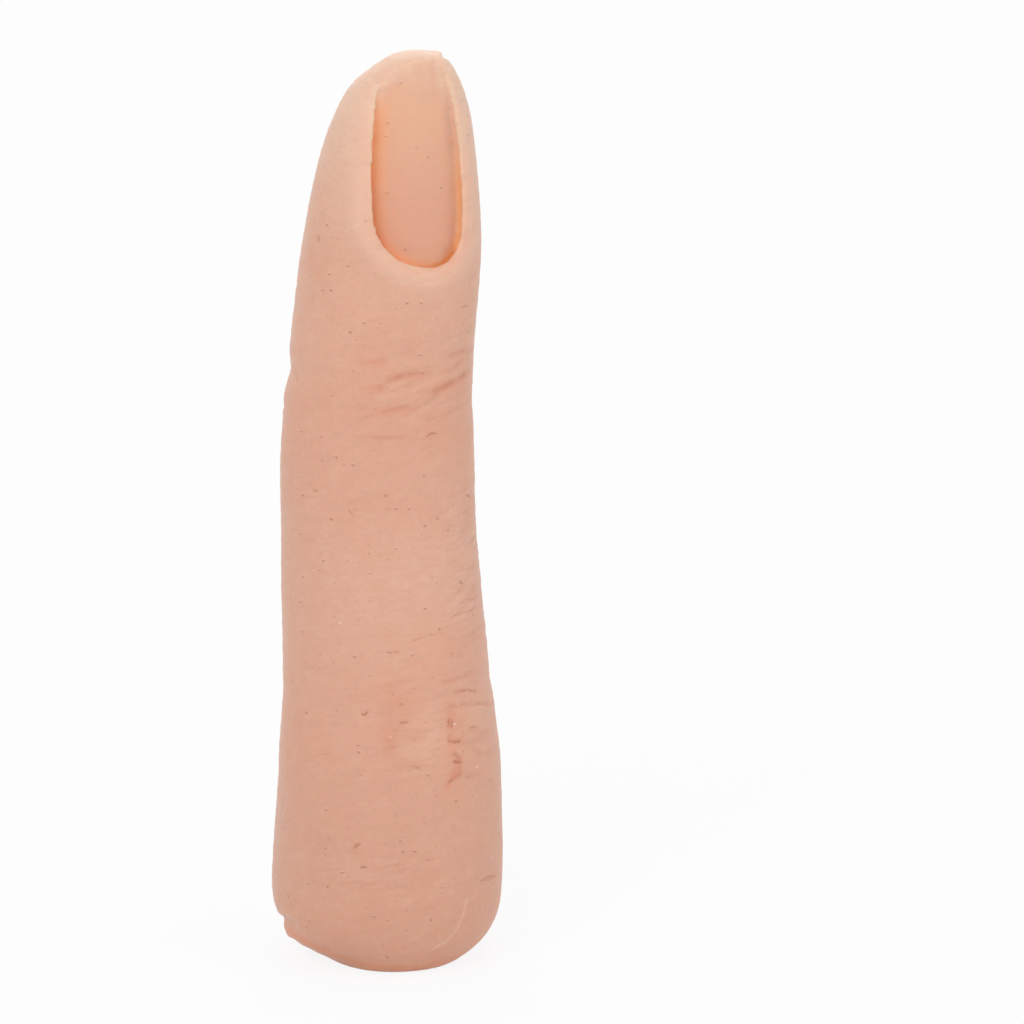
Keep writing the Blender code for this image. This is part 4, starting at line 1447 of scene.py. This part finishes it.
def finish_core_nodes():
    for *finish, nodes in CORE_FINISHES:
        material = node_finish(*finish)
        for node in nodes:
            slots = frame["nodes"][node].data.materials
            if len(slots) == 0:
                slots.append(material)
            for index in range(len(slots)):
                slots[index] = material


# Stage, light and camera
AIR_LIGHT = 0.52
FLOOR_SIZE = 6
FLOOR_WHITENING = 0.88
# Soft lamps: name, place in metres, size in metres and watts
LAMPS = (
    ("key_softbox", (-0.55, -0.70, 0.70), 0.6, 4.0),
    ("fill_softbox", (0.70, -0.60, 0.35), 0.6, 1.5),
    ("top_softbox", (0.05, 0.15, 0.9), 0.6, 1.6),
    ("back_softbox", (0.15, 0.95, 0.45), 0.7, 2.0),
)


def seen_by_eye(tree, limits):
    """A strength on rays that show the background, by eye, in a gloss or through glass."""
    rays = add(tree, "ShaderNodeLightPath").outputs
    seen = rays["Is Camera Ray"]
    for other in ("Is Glossy Ray", "Is Transmission Ray"):
        either = add(tree, "ShaderNodeMath", {"operation": "MAXIMUM"}, {0: seen, 1: rays[other]})
        seen = either.outputs[0]
    return add(tree, "ShaderNodeMapRange", limits, {"Value": seen}).outputs["Result"]


def make_floor():
    """Matt white paper that runs out of view, white to the camera, with a soft shadow on it."""
    deselect_all()
    bpy.ops.mesh.primitive_plane_add(size=FLOOR_SIZE, location=(0, 0, 0))
    floor = bpy.context.object
    floor.name = "studio_floor"
    material, tree, shader = new_material("matt_white_paper")
    paper = {"Base Color": linear("#F4F4F4"), "Roughness": 1.0, "Specular IOR Level": 0.0}
    finish_shader(tree, shader, paper, {})
    glow = add(tree, "ShaderNodeEmission", {"Strength": 1.0})
    whitening = seen_by_eye(tree, {"To Max": FLOOR_WHITENING})
    mixed = {0: whitening, 1: shader.outputs["BSDF"], 2: glow.outputs["Emission"]}
    whitened = add(tree, "ShaderNodeMixShader", None, mixed).outputs["Shader"]
    tree.links.new(whitened, tree.nodes["Material Output"].inputs["Surface"])
    floor.data.materials.append(material)


def make_world():
    """Even studio air, white where the camera sees it."""
    world = bpy.data.worlds.new("studio_air")
    bpy.context.scene.world = world
    world.use_nodes = True
    tree = world.node_tree
    shade = tree.nodes["Background"]
    strength = seen_by_eye(tree, {"To Min": AIR_LIGHT, "To Max": 1.0})
    tree.links.new(strength, shade.inputs["Strength"])
    shade.inputs["Color"].default_value = (1.0, 1.0, 1.0, 1.0)


def make_lamps():
    """Plain soft studio light, with each lamp turned to the middle of the finger."""
    target = Vector((0, 0, FINGER_TOP / 2))
    for name, place, size, watts in LAMPS:
        light = bpy.data.lights.new(name, "AREA")
        light.size = size
        light.energy = watts
        lamp = bpy.data.objects.new(name, light)
        lamp.location = place
        lamp.rotation_euler = (target - Vector(place)).to_track_quat("-Z", "Y").to_euler()
        bpy.context.scene.collection.objects.link(lamp)


def make_camera():
    """A long lens at the photo's angle, moved aside so that the finger takes its place there."""
    data = bpy.data.cameras.new("photo_camera")
    data.lens = LENS
    data.sensor_width = SENSOR
    data.clip_end = CLIP_END
    camera = bpy.data.objects.new("photo_camera", data)
    bpy.context.scene.collection.objects.link(camera)
    middle = Vector((0, 0, FINGER_TOP / 2))
    right, up = photo_point((PHOTO_PIXELS / 2, PHOTO_PIXELS / 2))
    aside = right * MM - middle.dot(VIEW_RIGHT)
    above = up * MM - middle.dot(VIEW_UP)
    aim = middle + VIEW_RIGHT * aside + VIEW_UP * above
    distance = PHOTO_PIXELS / PIXELS_PER_MM * MM * LENS / SENSOR
    camera.location = aim + VIEW_BACK * distance
    camera.rotation_mode = "QUATERNION"
    camera.rotation_quaternion = VIEW_BACK.to_track_quat("Z", "Y")
    bpy.context.scene.camera = camera


def bend_over(piece):
    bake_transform(piece)


def make_silicone():
    """The casting in two halves, cut across between the two knuckles."""
    whole = make_skin()
    finish = silicone_skin()
    lower = half_of_skin(whole, "skin_lower", True)
    upper = half_of_skin(whole, "skin_upper", False)
    remove(whole)
    for skin in (lower, upper):
        skin.data.materials.clear()
        skin.data.materials.append(finish)
    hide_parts("base_flesh", "middle_flesh")
    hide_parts("tip_flesh")
    return lower, upper


def make_core():
    """The two wires of the core."""
    finish = drawn_aluminium()
    lower = make_wire("bent_wire_lower", LOWER_WIRE_BOX)
    upper = make_wire("bent_wire_upper", UPPER_WIRE_BOX)
    for wire in (lower, upper):
        wire.data.materials.append(finish)
    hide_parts("core_wire_lower")
    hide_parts("core_wire_upper")
    return lower, upper


def main():
    make_camera()
    skin_lower, skin_upper = make_silicone()
    wire_lower, wire_upper = make_core()
    for piece in (skin_lower, wire_lower):
        bend_over(piece)
    for piece in (skin_upper, wire_upper):
        bend_over(piece)
    finish_core_nodes()
    make_floor()
    make_world()
    make_lamps()
    bpy.context.scene.view_settings.view_transform = "Standard"


main()
